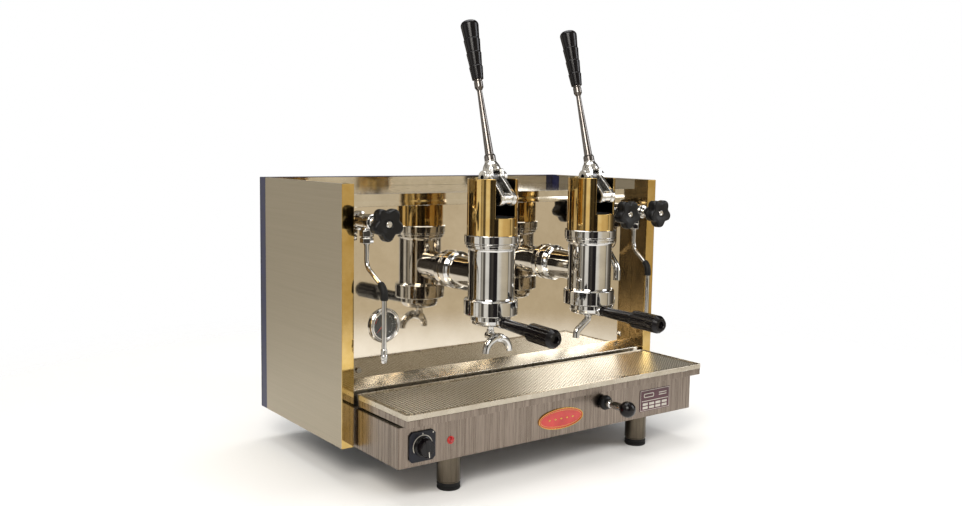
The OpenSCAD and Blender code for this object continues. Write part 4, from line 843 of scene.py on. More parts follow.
class ESPRESSO_OT_grate(bpy.types.Operator):
    """Makes the lift-out grate: a folded rim around a perforated sheet"""

    bl_idname = "espresso.grate"
    bl_label = "Grate"

    def execute(self, context):
        low, high = mm_box("drip_grate")
        s = sizes()
        sheet, drop = 1.5, 1.6
        w, d = high.x - low.x, high.y - low.y
        cx, cy = (low.x + high.x) / 2, (low.y + high.y) / 2
        outer, lower = rounded_box(w, d, 3), rounded_box(w - 1.2, d - 1.2, 2.6)
        inner = rounded_box(w - 2 * sheet, d - 2 * sheet, 2)
        step = high.z - 0.45 * (high.z - low.z)
        rim = soften(slab(outer, step, high.z, inner), 0.7, 3)
        # The lower band of the rim takes the darker fascia finish: painted shade
        skirt = soften(slab(lower, low.z, step - 0.3, inner), 0.5)
        piece("grate_skirt", moved(skirt, at(cx, cy)), "brushed_fascia", "drip_grate")
        columns = int((w - 2 * mm(s.margin)) / mm(s.pitch))
        rows = int((d - 2 * mm(s.margin)) / mm(s.row_pitch))
        field_w, field_d = columns * mm(s.pitch), rows * mm(s.row_pitch)
        border = slab(rounded_box(w - 2 * sheet + 0.2, d - 2 * sheet + 0.2, 0),
                      high.z - drop - sheet, high.z - drop, rounded_box(field_w, field_d, 0))
        whole = joined(moved(rim, at(cx, cy)), moved(border, at(cx, cy)))
        piece("grate_rim", whole, "scuffed_stainless", "drip_grate", ["drip_grate"])
        self.plate(columns, rows, (cx, cy, high.z - drop), sheet)
        return {"FINISHED"}

    def plate(self, columns, rows, place, sheet):
        s = sizes()
        holder = new_object("grate_plate", bpy.data.meshes.new("grate_plate"))
        tree = bpy.data.node_groups.new("perforated_sheet", "GeometryNodeTree")
        values = {
            "Pitch": ("Float", s.pitch), "Row pitch": ("Float", s.row_pitch), "Hole": ("Float", s.hole),
            "Sheet": ("Float", sheet * MM), "Columns": ("Int", columns), "Rows": ("Int", rows),
            "Place": ("Vector", [v * MM for v in place]),
        }
        named = {name: tree.interface.new_socket(name, in_out="INPUT", socket_type=f"NodeSocket{kind}")
                 for name, (kind, _) in values.items()}
        tree.interface.new_socket("Geometry", in_out="OUTPUT", socket_type="NodeSocketGeometry")
        entry = add(tree, "NodeGroupInput").outputs

        def times(a, b, how="MULTIPLY"):
            return add(tree, "ShaderNodeMath", {0: a, 1: b}, operation=how).outputs["Value"]

        cell = add(tree, "GeometryNodeCurvePrimitiveQuadrilateral", {
            "Width": entry["Pitch"], "Height": entry["Row pitch"],
        }).outputs["Curve"]
        hole = add(tree, "GeometryNodeCurvePrimitiveCircle", {
            "Resolution": 10, "Radius": times(entry["Hole"], 0.5),
        }).outputs["Curve"]
        both = add(tree, "GeometryNodeJoinGeometry")
        tree.links.new(cell, both.inputs[0])
        tree.links.new(hole, both.inputs[0])
        flat = add(tree, "GeometryNodeFillCurve", {"Curve": both.outputs[0]}).outputs["Mesh"]
        steps = [times(entry[n], 1, "SUBTRACT") for n in ("Columns", "Rows")]
        grid = add(tree, "GeometryNodeMeshGrid", {
            "Size X": times(steps[0], entry["Pitch"]), "Size Y": times(steps[1], entry["Row pitch"]),
            "Vertices X": entry["Columns"], "Vertices Y": entry["Rows"],
        }).outputs["Mesh"]
        tiles = add(tree, "GeometryNodeInstanceOnPoints", {
            "Points": grid, "Instance": flat,
        }).outputs["Instances"]
        real = add(tree, "GeometryNodeRealizeInstances", {"Geometry": tiles}).outputs["Geometry"]
        whole = add(tree, "GeometryNodeMergeByDistance", {
            "Geometry": real, "Distance": 1e-5,
        }).outputs["Geometry"]
        down = add(tree, "ShaderNodeCombineXYZ", {"Z": times(entry["Sheet"], -1)}).outputs["Vector"]
        thick = add(tree, "GeometryNodeExtrudeMesh", {
            "Mesh": whole, "Offset": down, "Offset Scale": 1.0, "Individual": False,
        })
        closed = add(tree, "GeometryNodeJoinGeometry")
        tree.links.new(whole, closed.inputs[0])
        tree.links.new(thick.outputs["Mesh"], closed.inputs[0])
        set_down = add(tree, "GeometryNodeTransform", {
            "Geometry": closed.outputs[0], "Translation": entry["Place"],
        }).outputs["Geometry"]
        steel = add(tree, "GeometryNodeSetMaterial", {
            "Geometry": set_down, "Material": MATERIALS["satin_stainless"],
        }).outputs["Geometry"]
        done = add(tree, "GeometryNodeSetMaterial", {
            "Geometry": steel, "Selection": thick.outputs["Side"], "Material": MATERIALS["hole_wall"],
        }).outputs["Geometry"]
        add(tree, "NodeGroupOutput", {"Geometry": done})
        modifier = holder.modifiers.new("holes", "NODES")
        modifier.node_group = tree
        for name, (_, value) in values.items():
            modifier[named[name].identifier] = value
        made = settled(holder)
        bm = bmesh.new()
        bm.from_mesh(made.data)
        bmesh.ops.remove_doubles(bm, verts=bm.verts, dist=1e-6)
        bmesh.ops.recalc_face_normals(bm, faces=bm.faces)
        bm.to_mesh(made.data)
        bm.free()
        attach(made, body_of("drip_grate"))


# ---- Front controls --------------------------------------------------------------


class ESPRESSO_OT_plates(bpy.types.Operator):
    """Makes the oval enamel badge and the small printed plate, both without words"""

    bl_idname = "espresso.plates"
    bl_label = "Badge and Plate"

    def execute(self, context):
        low, high = mm_box("badge_plate")
        w, h, c = high.x - low.x, high.z - low.z, middle("badge_plate")
        place = at(c.x, high.y, c.z) @ FRONTWARDS
        enamel = bmesh.new()
        rings = []
        for share, rise in ((1.0, 0.0), (0.99, 0.9), (0.9, 1.2), (0.6, 1.45), (0.25, 1.55)):
            rings.append([enamel.verts.new((x * MM, y * MM, rise * MM))
                          for x, y in oval(w * share, h * share)])
        for a, b in zip(rings, rings[1:]):
            stitch(enamel, a, b)
        enamel.faces.new(rings[0])
        enamel.faces.new(rings[-1])
        piece("badge_enamel", moved(enamel, place), "red_enamel", "badge_plate", ["badge_plate"])
        rim = soften(slab(oval(w, h), 0, 2, oval(w - 3.4, h - 3.4)), 0.5)
        line = slab(oval(w - 8, h - 8), 1.0, 1.5, oval(w - 9.2, h - 9.2))
        gems = [moved(soften(slab([(-3, 0), (0, -1.6), (3, 0), (0, 1.6)], 1.2, 1.9), 0.2), at(x, 0))
                for x in (-26, -13, 0, 13, 26)]
        piece("badge_gilding", moved(joined(rim, line, *gems), place), "gilt_line", "badge_plate")
        self.small_plate()
        return {"FINISHED"}

    def small_plate(self):
        low, high = mm_box("data_plate")
        w, h, c = high.x - low.x, high.z - low.z, middle("data_plate")
        place = at(c.x, high.y, c.z) @ FRONTWARDS
        ground = soften(slab(rounded_box(w, h, 2), 0, 0.8), 0.2)
        piece("plate_ground", moved(ground, place), "maroon_plate", "data_plate", ["data_plate"])
        ink = 0.95
        marks = [slab(rounded_box(w - 2.4, h - 2.4, 1.5), 0.7, ink, rounded_box(w - 4, h - 4, 1.2)),
                 moved(slab(rounded_box(w - 9, 1.2, 0.3), 0.7, ink), at(0, -1))]
        for column in range(4):
            for row in range(2):
                field = slab(rounded_box(13, 4.4, 0.5), 0.7, ink)
                marks.append(moved(field, at(-w / 2 + 14 + column * 16.6, -h / 2 + 6.5 + row * 6.5)))
        marks.append(moved(slab(rounded_box(26, 8, 3), 0.7, ink, rounded_box(23, 5, 2)), at(-16, 9)))
        marks += [moved(slab(rounded_box(20, 1.6, 0.3), 0.7, ink), at(20, y)) for y in (11, 7)]
        piece("plate_print", moved(joined(*marks), place), "silver_print", "data_plate")


class ESPRESSO_OT_switch(bpy.types.Operator):
    """Makes the switch plate, its rotary knob and the pilot lamp"""

    bl_idname = "espresso.switch"
    bl_label = "Switch and Lamp"

    def execute(self, context):
        low, high = mm_box("switch_plate")
        box_front = mm_box("drip_box")[0].y
        c = middle("switch_knob")
        plate_t = box_front - low.y
        place = at(c.x, box_front, c.z) @ FRONTWARDS
        half = 24
        outline = fillet([(-half, -half), (half, -half), (half, half), (-half, half)], 5.5, 1, closed=True)
        plate = soften(slab(outline, 0, plate_t), 0.7)
        raised = soften(slab(rounded_box(38, 38, 3), plate_t - 0.3, plate_t + 0.2), 0.2)
        body = soften(block((c.x - 19, box_front + 1.5, c.z - 19),
                            (c.x + 19, high.y, min(high.z, c.z + 12))), 0.6)
        piece("switch_plate_moulding", joined(moved(plate, place), moved(raised, place), body),
              "switch_plastic", "switch_plate", ["switch_plate"])
        ink = (plate_t + 0.1, plate_t + 0.35)
        dots = [moved(slab(circle(1.3, 20), *ink), at(x, 19.6)) for x in (0, 19)]
        scale_r, scale_w = 18.0, 1.1
        angles = [-12 + 220 * k / 48 for k in range(49)]
        scale = slab(arc(scale_r, angles) + arc(scale_r - scale_w, angles[::-1]), *ink)
        piece("switch_print", moved(joined(*dots, scale), place), "silver_print", "switch_plate")
        self.knob(place, plate_t, box_front - mm_box("switch_knob")[0].y)
        self.lamp()
        return {"FINISHED"}

    def knob(self, place, plate_t, out):
        """Round skirt, tapered grip and a pointer bar."""
        base = plate_t + 0.3
        skirt = lathe(fillet([(0, base), (16, base), (16, base + 3.5), (13.6, base + 5), (12.5, out - 1),
                              (0, out - 1)],
                             [0, 0.5, 1.0, 0.8, 2.2, 0], 4), 72)
        bar = soften(block((-3.6, -15, base + 3), (3.6, 15, out)), 1.5, 3)
        whole = joined(skirt, moved(bar, turn("Z", 6)))
        piece("switch_knob_moulding", moved(whole, place), "gloss_grip", "switch_knob", ["switch_knob"])
        line = moved(block((-0.7, -14.2, out - 0.2), (0.7, -5, out + 0.05)), turn("Z", 6))
        piece("switch_pointer_line", moved(line, place), "silver_print", "switch_knob")
        stem = lathe([(0, base + 1), (2.95, base + 1), (2.95, -12), (0, -12)], 24)
        piece("switch_stem", moved(stem, place), "oiled_steel", "switch_knob")

    def lamp(self):
        low, high = mm_box("pilot_lamp")
        c = middle("pilot_lamp")
        front = mm_box("drip_box")[0].y
        r, out = (high.x - low.x) / 2, front - low.y
        place = at(c.x, front, c.z) @ FRONTWARDS
        dome = [(r * 0.78 * math.cos(math.radians(a)), 0.9 + (out - 0.9) * math.sin(math.radians(a)))
                for a in range(0, 91, 9)]
        lens = lathe([(0, 0.2)] + dome[:-1] + [(0, out)], 48)
        piece("lamp_lens", moved(lens, place), "red_lens", "pilot_lamp", ["pilot_lamp"])
        collar = lathe(fillet([(r * 0.74, 0), (r, 0), (r, 0.9), (r * 0.84, 1.7), (r * 0.74, 1.5)], 0.3, 2,
                              True),
                       48, closed=True)
        piece("lamp_collar", moved(collar, place), "red_print", "pilot_lamp")
        body = lathe(fillet([(0, -0.5), (4.4, -0.5), (4.4, -high.y + front + 0.2),
                             (0, -high.y + front + 0.2)], 0.5), 32)
        piece("lamp_body", moved(body, place), "switch_plastic", "pilot_lamp")


class ESPRESSO_OT_fill_valve(bpy.types.Operator):
    """Makes the manual filling valve: a black collar, a turned spindle and a ball knob"""

    bl_idname = "espresso.fill_valve"
    bl_label = "Filling Valve"

    def execute(self, context):
        low, _ = mm_box("fill_valve")
        knob_low, knob_high = mm_box("fill_knob")
        c = middle("fill_knob")
        front = mm_box("drip_box")[0].y
        out = front - knob_low.y
        ball_r = (knob_high.x - knob_low.x) / 2
        place = at(c.x, front, c.z) @ FRONTWARDS
        reach = front - low.y
        collar = lathe(fillet([(7.2, 0), (9.5, 0), (11, 3), (12.8, 6), (13, 9.5), (11.5, reach - 1.5),
                               (8, reach), (7.2, reach)], [0, 0.6, 2, 3, 3, 3, 1, 0.3], 4, True), 72,
                       closed=True)
        body = copy_of("fill_valve")
        cut_off(body, front + 0.2, -1)
        piece("fill_collar", moved(collar, place), "moulded_knob", "fill_valve", ["fill_valve"])
        piece("fill_body", body, "drawn_brass", "fill_valve")
        spindle_out = out - 2 * ball_r
        spindle = lathe(fillet([(0, -5.5), (5, -5.5), (5, reach + 0.4), (7, reach + 0.4), (7, reach + 7),
                                (5.2, reach + 9), (5.2, reach + 14), (6.6, reach + 16),
                                (6.6, spindle_out - 1), (9, spindle_out + 3), (9, spindle_out + 5.5),
                                (6, spindle_out + 7), (0, spindle_out + 7)], 0.6, 3), 64)
        piece("fill_spindle", moved(spindle, place), "chrome_plate", "fill_knob", ["fill_knob"])
        centre = out - ball_r
        curve = arc(ball_r, range(-62, 91, 8), 0, centre)
        x, z = curve[0]
        ball = lathe([(0, z - 0.5), (x - 0.5, z - 0.5)] + curve + [(0, out)], 64)
        piece("fill_ball", moved(ball, place), "gloss_grip", "fill_knob")
        return {"FINISHED"}


class ESPRESSO_OT_feet(bpy.types.Operator):
    """Makes the legs of brushed tube and their rubber pads"""

    bl_idname = "espresso.feet"
    bl_label = "Feet"

    def execute(self, context):
        low, high = mm_box("foot_legs")
        pad_top = mm_box("foot_pads")[1].z
        r = 19.5
        tops = {low.y + r: mm_box("drip_box")[0].z, high.y - r: high.z}
        legs, pads = [], []
        for x in (low.x + r, high.x - r):
            for y, top in tops.items():
                tube = lathe(fillet([(0, low.z), (r - 1, low.z), (r - 1, low.z + 1.5), (r, low.z + 2.5),
                                     (r, top), (0, top)],
                                    [0, 0.2, 0.3, 0.3, 0.2, 0], 2), 80)
                legs.append(moved(tube, at(x, y)))
                pr = r - 0.5
                pad = lathe(fillet([(0, 0), (pr - 1.2, 0), (pr, 1.4), (pr, 4.6), (pr - 1.3, 5.2),
                                    (pr - 1.3, 6.8), (pr, 7.4), (pr, pad_top - 0.8), (pr - 0.8, pad_top),
                                    (0, pad_top)], 0.5, 2), 80)
                pads.append(moved(pad, at(x, y)))
        piece("leg_tubes", joined(*legs), "brushed_tube", "foot_legs", ["foot_legs"])
        piece("leg_pads", joined(*pads), "black_rubber", "foot_pads", ["foot_pads"])
        return {"FINISHED"}


# ---- Gauges -----------------------------------------------------------------------


class ESPRESSO_OT_gauges(bpy.types.Operator):
    """Makes the pressure gauges: a stepped chrome bezel, a printed dial, a lens"""

    bl_idname = "espresso.gauges"
    bl_label = "Gauges"

    def execute(self, context):
        low, high = mm_box("gauge_cases")
        r = (high.z - low.z) / 2
        panel = mm_box("splash_panel")[0].y
        out, deep = panel - low.y, high.y - panel
        dial_out = panel - mm_box("gauge_dials")[0].y
        cases, dials, white, red, lenses = [], [], [], [], []
        for x in (low.x + r, high.x - r):
            place = at(x, panel, (low.z + high.z) / 2) @ FRONTWARDS
            outer = lathe(fillet([(0, -deep), (r - 5, -deep), (r - 5, 0), (r, 0), (r, out - 3.6),
                                  (r - 2.6, out - 0.8), (r - 4.0, out - 2.4), (r - 4.8, out),
                                  (r - 6.6, out), (r - 8, out - 2.5), (r - 8, dial_out - 1.4),
                                  (0, dial_out - 1.4)],
                                 [0, 1, 0.2, 0.5, 1.6, 1.2, 0.3, 0.8, 0.8, 0.3, 0.2, 0], 3), 96)
            cases.append(moved(outer, place))
            face_r = r - 8.3
            dials.append(moved(lathe([(1.3, dial_out - 1.2), (face_r, dial_out - 1.2), (face_r, dial_out),
                                      (1.3, dial_out)],
                                     72, closed=True), place))
            for k in range(25):
                a = 225 - 270 * k / 24
                long_mark = k % 4 == 0
                inner = face_r - (4.6 if long_mark else 3.0)
                half = 0.45 if long_mark else 0.25
                tick = block((inner, -half, dial_out - 0.1), (face_r - 1.2, half, dial_out + 0.12))
                (red if 5 <= k <= 8 else white).append(moved(tick, place @ turn("Z", a)))
            angles = [225 - 270 * (5 + 3 * k / 12) / 24 for k in range(13)]
            band = arc(face_r - 5.2, angles) + arc(face_r - 7.0, angles[::-1])
            red.append(moved(slab(band, dial_out - 0.1, dial_out + 0.12), place))
            lenses.append(moved(lathe(fillet([(0, out - 2.6), (face_r + 0.2, out - 2.6),
                                              (face_r + 0.2, out - 3.8), (0, out - 3.8)], 0.1), 72), place))
        piece("gauge_bezels", joined(*cases), "chrome_plate", "gauge_cases", ["gauge_cases"])
        piece("gauge_dial_cards", joined(*dials), "dial_black", "gauge_dials", ["gauge_dials"])
        piece("gauge_scale_marks", joined(*white), "white_print", "gauge_dials")
        piece("gauge_red_marks", joined(*red), "red_print", "gauge_dials")
        piece("gauge_lens_glass", joined(*lenses), "clear_glass", "gauge_lenses", ["gauge_lenses"])
        return {"FINISHED"}


# ---- Groups -----------------------------------------------------------------------

# Height of the floor of the lever slots in millimetres, and half of the angle of a slot
SLOT_Z = 432.0
SLOT_HALF_ANGLE = 31

# Height of the axis of the group necks, and radius of the ring nuts, in millimetres
NECK_Z = 333.0
NUT_R = 46.0


class ESPRESSO_OT_groups(bpy.types.Operator):
    """Makes the group castings, their ring nuts and the necks that join them to the case"""

    bl_idname = "espresso.groups"
    bl_label = "Groups"

    def execute(self, context):
        nuts = []
        nut_low, nut_high = mm_box("ring_nuts")
        for side in SIDES:
            node = f"{side}_group_body"
            low, high = mm_box(node)
            axis = middle(f"{side}_spring_sleeve")
            bell_r = (high.x - low.x) / 2
            seat = mm_box(f"{side}_spring_sleeve")[0].z
            bell_top = low.z + 26
            barrel_r, collar_r, bore_r = 39.0, 44.0, 31.2
            outer = [(36, low.z), (bell_r - 1.5, low.z), (bell_r, low.z + 1.5), (bell_r, bell_top - 1.6),
                     (bell_r - 1.6, bell_top), (barrel_r + 1.2, bell_top + 0.2), (barrel_r, bell_top + 3),
                     (barrel_r, high.z - 9), (barrel_r + 0.6, high.z - 6), (collar_r - 1, high.z - 4),
                     (collar_r - 1, high.z)]
            inner = [(42.3, high.z), (42.3, seat), (bore_r, seat), (bore_r, bell_top - 7),
                     (39.1, bell_top - 7), (39.1, low.z + 4), (36, low.z + 4)]
            radii = [0.5, 0.8, 0.8, 1, 0.8, 0.8, 1.5, 3, 2, 0.8, 0.3] + [0.2] * 7
            casting = lathe(fillet(outer + inner, radii, 4, True), 128, closed=True)
            axis_place = at(axis.x, axis.y)
            moved(casting, axis_place)
            neck = self.neck(high.y - axis.y, mm_box("splash_panel")[0].y - axis.y)
            moved(neck, at(axis.x, axis.y, NECK_Z) @ turn("X", -90))
            piece(f"{side}_group_casting", joined(casting, neck), "chrome_plate", node, [node])
            nut = lathe(fillet([(42.4, nut_low.z), (NUT_R - 1.2, nut_low.z), (NUT_R - 0.6, nut_low.z + 0.7),
                                (NUT_R - 0.6, nut_low.z + 3.2), (NUT_R - 1.6, nut_low.z + 3.5),
                                (NUT_R - 1.6, nut_low.z + 4.1), (NUT_R, nut_low.z + 4.5),
                                (NUT_R, nut_high.z - 1), (NUT_R - 0.9, nut_high.z), (42.4, nut_high.z)],
                               0.35, 3, True), 128, closed=True)
            nuts.append(moved(nut, axis_place))
        piece("ring_nut_pair", joined(*nuts), "chrome_plate", "ring_nuts", ["ring_nuts"])
        return {"FINISHED"}

    def neck(self, end, face):
        """Tube from the barrel to the boiler with a stepped flange against the panel."""
        flange, root, in_wall = face - 16, 30.0, 35.0
        tube = lathe(fillet([(0, root), (26, root), (26, flange - 8), (28, flange - 4), (30.5, flange - 1),
                             (33, flange + 1), (33, face - 4), (31.5, face - 1.2), (31.5, face + 0.2),
                             (19.5, face + 0.2), (19.5, end), (0, end)],
                            [0, 0, 6, 2, 1.2, 2, 1.6, 1, 0.2, 0.2, 0.5, 0], 4), 112)
        for v in tube.verts:
            if v.co.z < (root + 0.1) * MM:
                v.co.z = math.sqrt((in_wall * MM) ** 2 - v.co.x ** 2)
        return tube


def slotted_tube(outer, inner, levels, slot_from, slot_to, count=144):
    """Tube in three rings; the sector between two angles is left out above the middle level."""
    low, middle_z, high = levels
    bm = bmesh.new()
    rows = {(r, z): ring(bm, r, z, count) for r in (inner, outer) for z in levels}
    is_open = [slot_from <= (j + 0.5) * 360 / count <= slot_to for j in range(count)]

    for j in range(count):
        k = (j + 1) % count
        top = middle_z if is_open[j] else high
        for r in (inner, outer):
            for a, b in ((low, middle_z), (middle_z, high)):
                if b <= top:
                    bm.faces.new([rows[r, a][j], rows[r, a][k], rows[r, b][k], rows[r, b][j]])
        bm.faces.new([rows[inner, low][j], rows[inner, low][k], rows[outer, low][k], rows[outer, low][j]])
        bm.faces.new([rows[inner, top][j], rows[inner, top][k], rows[outer, top][k], rows[outer, top][j]])
        if is_open[j] != is_open[k]:
            bm.faces.new([rows[inner, middle_z][k], rows[outer, middle_z][k], rows[outer, high][k],
                          rows[inner, high][k]])
    for vert in [v for row in rows.values() for v in row if not v.link_faces]:
        bm.verts.remove(vert)
    return bm


class ESPRESSO_OT_sleeves(bpy.types.Operator):
    """Makes the brass sleeves with their lever slots and the webs that back the springs"""

    bl_idname = "espresso.sleeves"
    bl_label = "Spring Sleeves"

    def execute(self, context):
        for side in SIDES:
            node = f"{side}_spring_sleeve"
            low, high = mm_box(node)
            axis = middle(node)
            r, wall = (high.x - low.x) / 2, 2.6
            shell = slotted_tube(r, r - wall, (low.z, SLOT_Z, high.z), 270 - SLOT_HALF_ANGLE,
                                 270 + SLOT_HALF_ANGLE)
            soften(shell, 0.6, 3)
            web = lathe(fillet([(6.4, SLOT_Z - 6), (r - wall - 0.05, SLOT_Z - 6), (r - wall - 0.05, SLOT_Z),
                                (6.4, SLOT_Z)],
                               0.4, 2, True), 96, closed=True)
            piece(f"{side}_sleeve_shell", moved(shell, at(axis.x, axis.y)), "turned_brass", node, [node])
            piece(f"{side}_sleeve_web", moved(web, at(axis.x, axis.y)), "oiled_steel", node)
            # Near-black skin inside the brass sleeve: grease, and painted shade of the bore
            bore = slotted_tube(r - wall - 0.04, r - wall - 0.5, (SLOT_Z + 0.3, SLOT_Z + 0.6, high.z - 2.5),
                                270 - SLOT_HALF_ANGLE - 3, 270 + SLOT_HALF_ANGLE + 3)
            piece(f"{side}_sleeve_bore", moved(bore, at(axis.x, axis.y)), "greased_steel", node)
            self.spring(side)
        return {"FINISHED"}

    def spring(self, side):
        """Main spring: a copy of the CAD coil with a mesh of its own, which does not shorten as the lever lifts
        the piston.
        """
        node, lift = f"{side}_main_spring", JOINTS[f"{side}_piston_lift"]
        made = piece(f"{side}_spring_coil", copy_of(node), "oiled_steel", node, [node])
        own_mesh(made)


# ---- Levers -----------------------------------------------------------------------


def smooth_loop(points, steps=6):
    """Closed Catmull-Rom curve through points."""
    out, count = [], len(points)
    for i in range(count):
        a, b, c, d = (Vector(points[(i + k) % count]) for k in (-1, 0, 1, 2))
        for k in range(steps):
            t = k / steps
            out.append(0.5 * (2 * b + (c - a) * t + (2 * a - 5 * b + 4 * c - d) * t ** 2
                              + (3 * b - a - 3 * c + d) * t ** 3))
    return out


# Lean of the levers to the front at rest, in degrees
LEVER_LEAN = 16.0


class ESPRESSO_OT_levers(bpy.types.Operator):
    """Makes the levers: a cast fork with rollers, a tapered rod and a stepped grip"""

    bl_idname = "espresso.levers"
    bl_label = "Levers"

    def execute(self, context):
        for side in SIDES:
            grip_node, node = f"{side}_lever_grip", f"{side}_lever"
            axis = middle(f"{side}_spring_sleeve")
            pivot = Vector(JOINTS[f"{side}_lever_swing"]["pos_m"]) / MM
            place = at(axis.x, pivot.y, pivot.z)
            upright = place @ turn("X", -LEVER_LEAN)
            fork = self.fork(place, upright)
            rod = lathe(fillet([(0, 17), (9.3, 17), (9.5, 20), (9.5, 35), (8.6, 38), (7.2, 38), (7.0, 44),
                                (4.2, 148), (5.4, 150), (7.4, 153.5), (7.4, 163), (6.6, 165), (6.6, 167),
                                (0, 167)],
                               [0, 1, 1, 1.2, 0.6, 0.5, 6, 2, 1, 1, 0.8, 0.4, 0.3, 0], 4), 96)
            piece(f"{side}_lever_casting", fork, "buffed_casting", node, [node])
            # The rods take a darker colour than the castings: painted reflection of dark surroundings
            piece(f"{side}_lever_rod", moved(rod, upright), "ground_steel", node)
            piece(f"{side}_lever_handgrip", moved(self.grip(), upright), "gloss_grip", grip_node,
                  [grip_node])
        return {"FINISHED"}

    def fork(self, place, upright):
        """Two cheeks joined at the top by a rounded shoulder, a pin and two rollers."""
        lean = math.radians(LEVER_LEAN)

        def leaned(y, z):
            return (y * math.cos(lean) + z * math.sin(lean), z * math.cos(lean) - y * math.sin(lean))

        arm = math.radians(44)
        tip = (-48 * math.cos(arm), -48 * math.sin(arm))
        around = arc(11.5, range(140, 311, 24), *tip)
        outline = [leaned(11.5, 12), leaned(5, 13.6), leaned(-5, 13.6), leaned(-12.2, 12), leaned(-12.9, 7),
                   (-13.2, 2), (-25, -9)] + around + [(-19, -33), (-6, -19.8), (7, -6.9), (9.4, -2.4),
                                                     leaned(10.8, 6)]
        outline = smooth_loop(outline, 4)
        parts = []
        for low_x, high_x in ((-15, -7), (7, 15)):
            cheek = soften(slab(outline, low_x, high_x), 3.4, 5, 40)
            parts.append(moved(cheek, place @ SIDEWAYS))
        dome = lathe(fillet([(0, 8.2), (12.2, 8.2), (15, 10.5), (15, 14), (13.4, 19.5), (10.2, 24.5),
                             (9.4, 28), (0, 28)],
                            [0, 1, 2, 3, 6, 4, 1, 0], 5), 72)
        parts.append(moved(dome, upright))
        sideways = turn("Y", 90)
        pin = lathe(fillet([(0, -22), (4.9, -22), (4.9, 22), (0, 22)], 0.6, 2), 40)
        parts.append(moved(pin, place @ sideways))
        for low_x in (-22, 15):
            roller = lathe(fillet([(0, low_x), (11, low_x), (11, low_x + 7), (0, low_x + 7)], 1.0, 3), 64)
            parts.append(moved(roller, place @ sideways))
        front = place @ at(0, *tip)
        axle = lathe(fillet([(0, -15), (9.4, -15), (9.4, 15), (0, 15)], 2.4, 4), 56)
        parts.append(moved(axle, front @ sideways))
        return joined(*parts)

    def grip(self):
        """Four flared segments, each with a rounded shoulder, and a domed end."""
        start, count, total, low_end, end_r = 167.0, 4, 102.0, 10.5, 15.25
        step = (total - 8) / count
        profile, radii = [(0, start), (7.2, start)], [0, 1]
        for i in range(count):
            low_r = low_end + (end_r - low_end) * i / count
            high_r = low_end + (end_r - low_end) * (i + 1) / count
            profile += [(low_r - 1.0, start + i * step + 0.3), (high_r - 0.1, start + (i + 1) * step - 1.6),
                        (high_r - 1.3, start + (i + 1) * step)]
            radii += [0.8, 1.6, 0.5]
        dome = arc(8, range(0, 90, 10), end_r - 8, start + total - 8)
        profile = profile[:-1] + dome + [(0, start + total)]
        radii = radii[:-1] + [0] * (len(dome) + 1)
        return lathe(fillet(profile, radii, 4), 96)


# ---- Portafilters -------------------------------------------------------------------

# Length of a handle from the bowl axis, in millimetres, and the turn of each handle at rest in degrees
HANDLE_REACH = 190.5
HANDLE_TURN = {"left": -6, "right": -4}

# Lower and upper side of the locking ears, and the seat of the spouts under the bowls, in millimetres
EAR_LEVELS = (274.3, 279.3)
SPOUT_TOP = 252


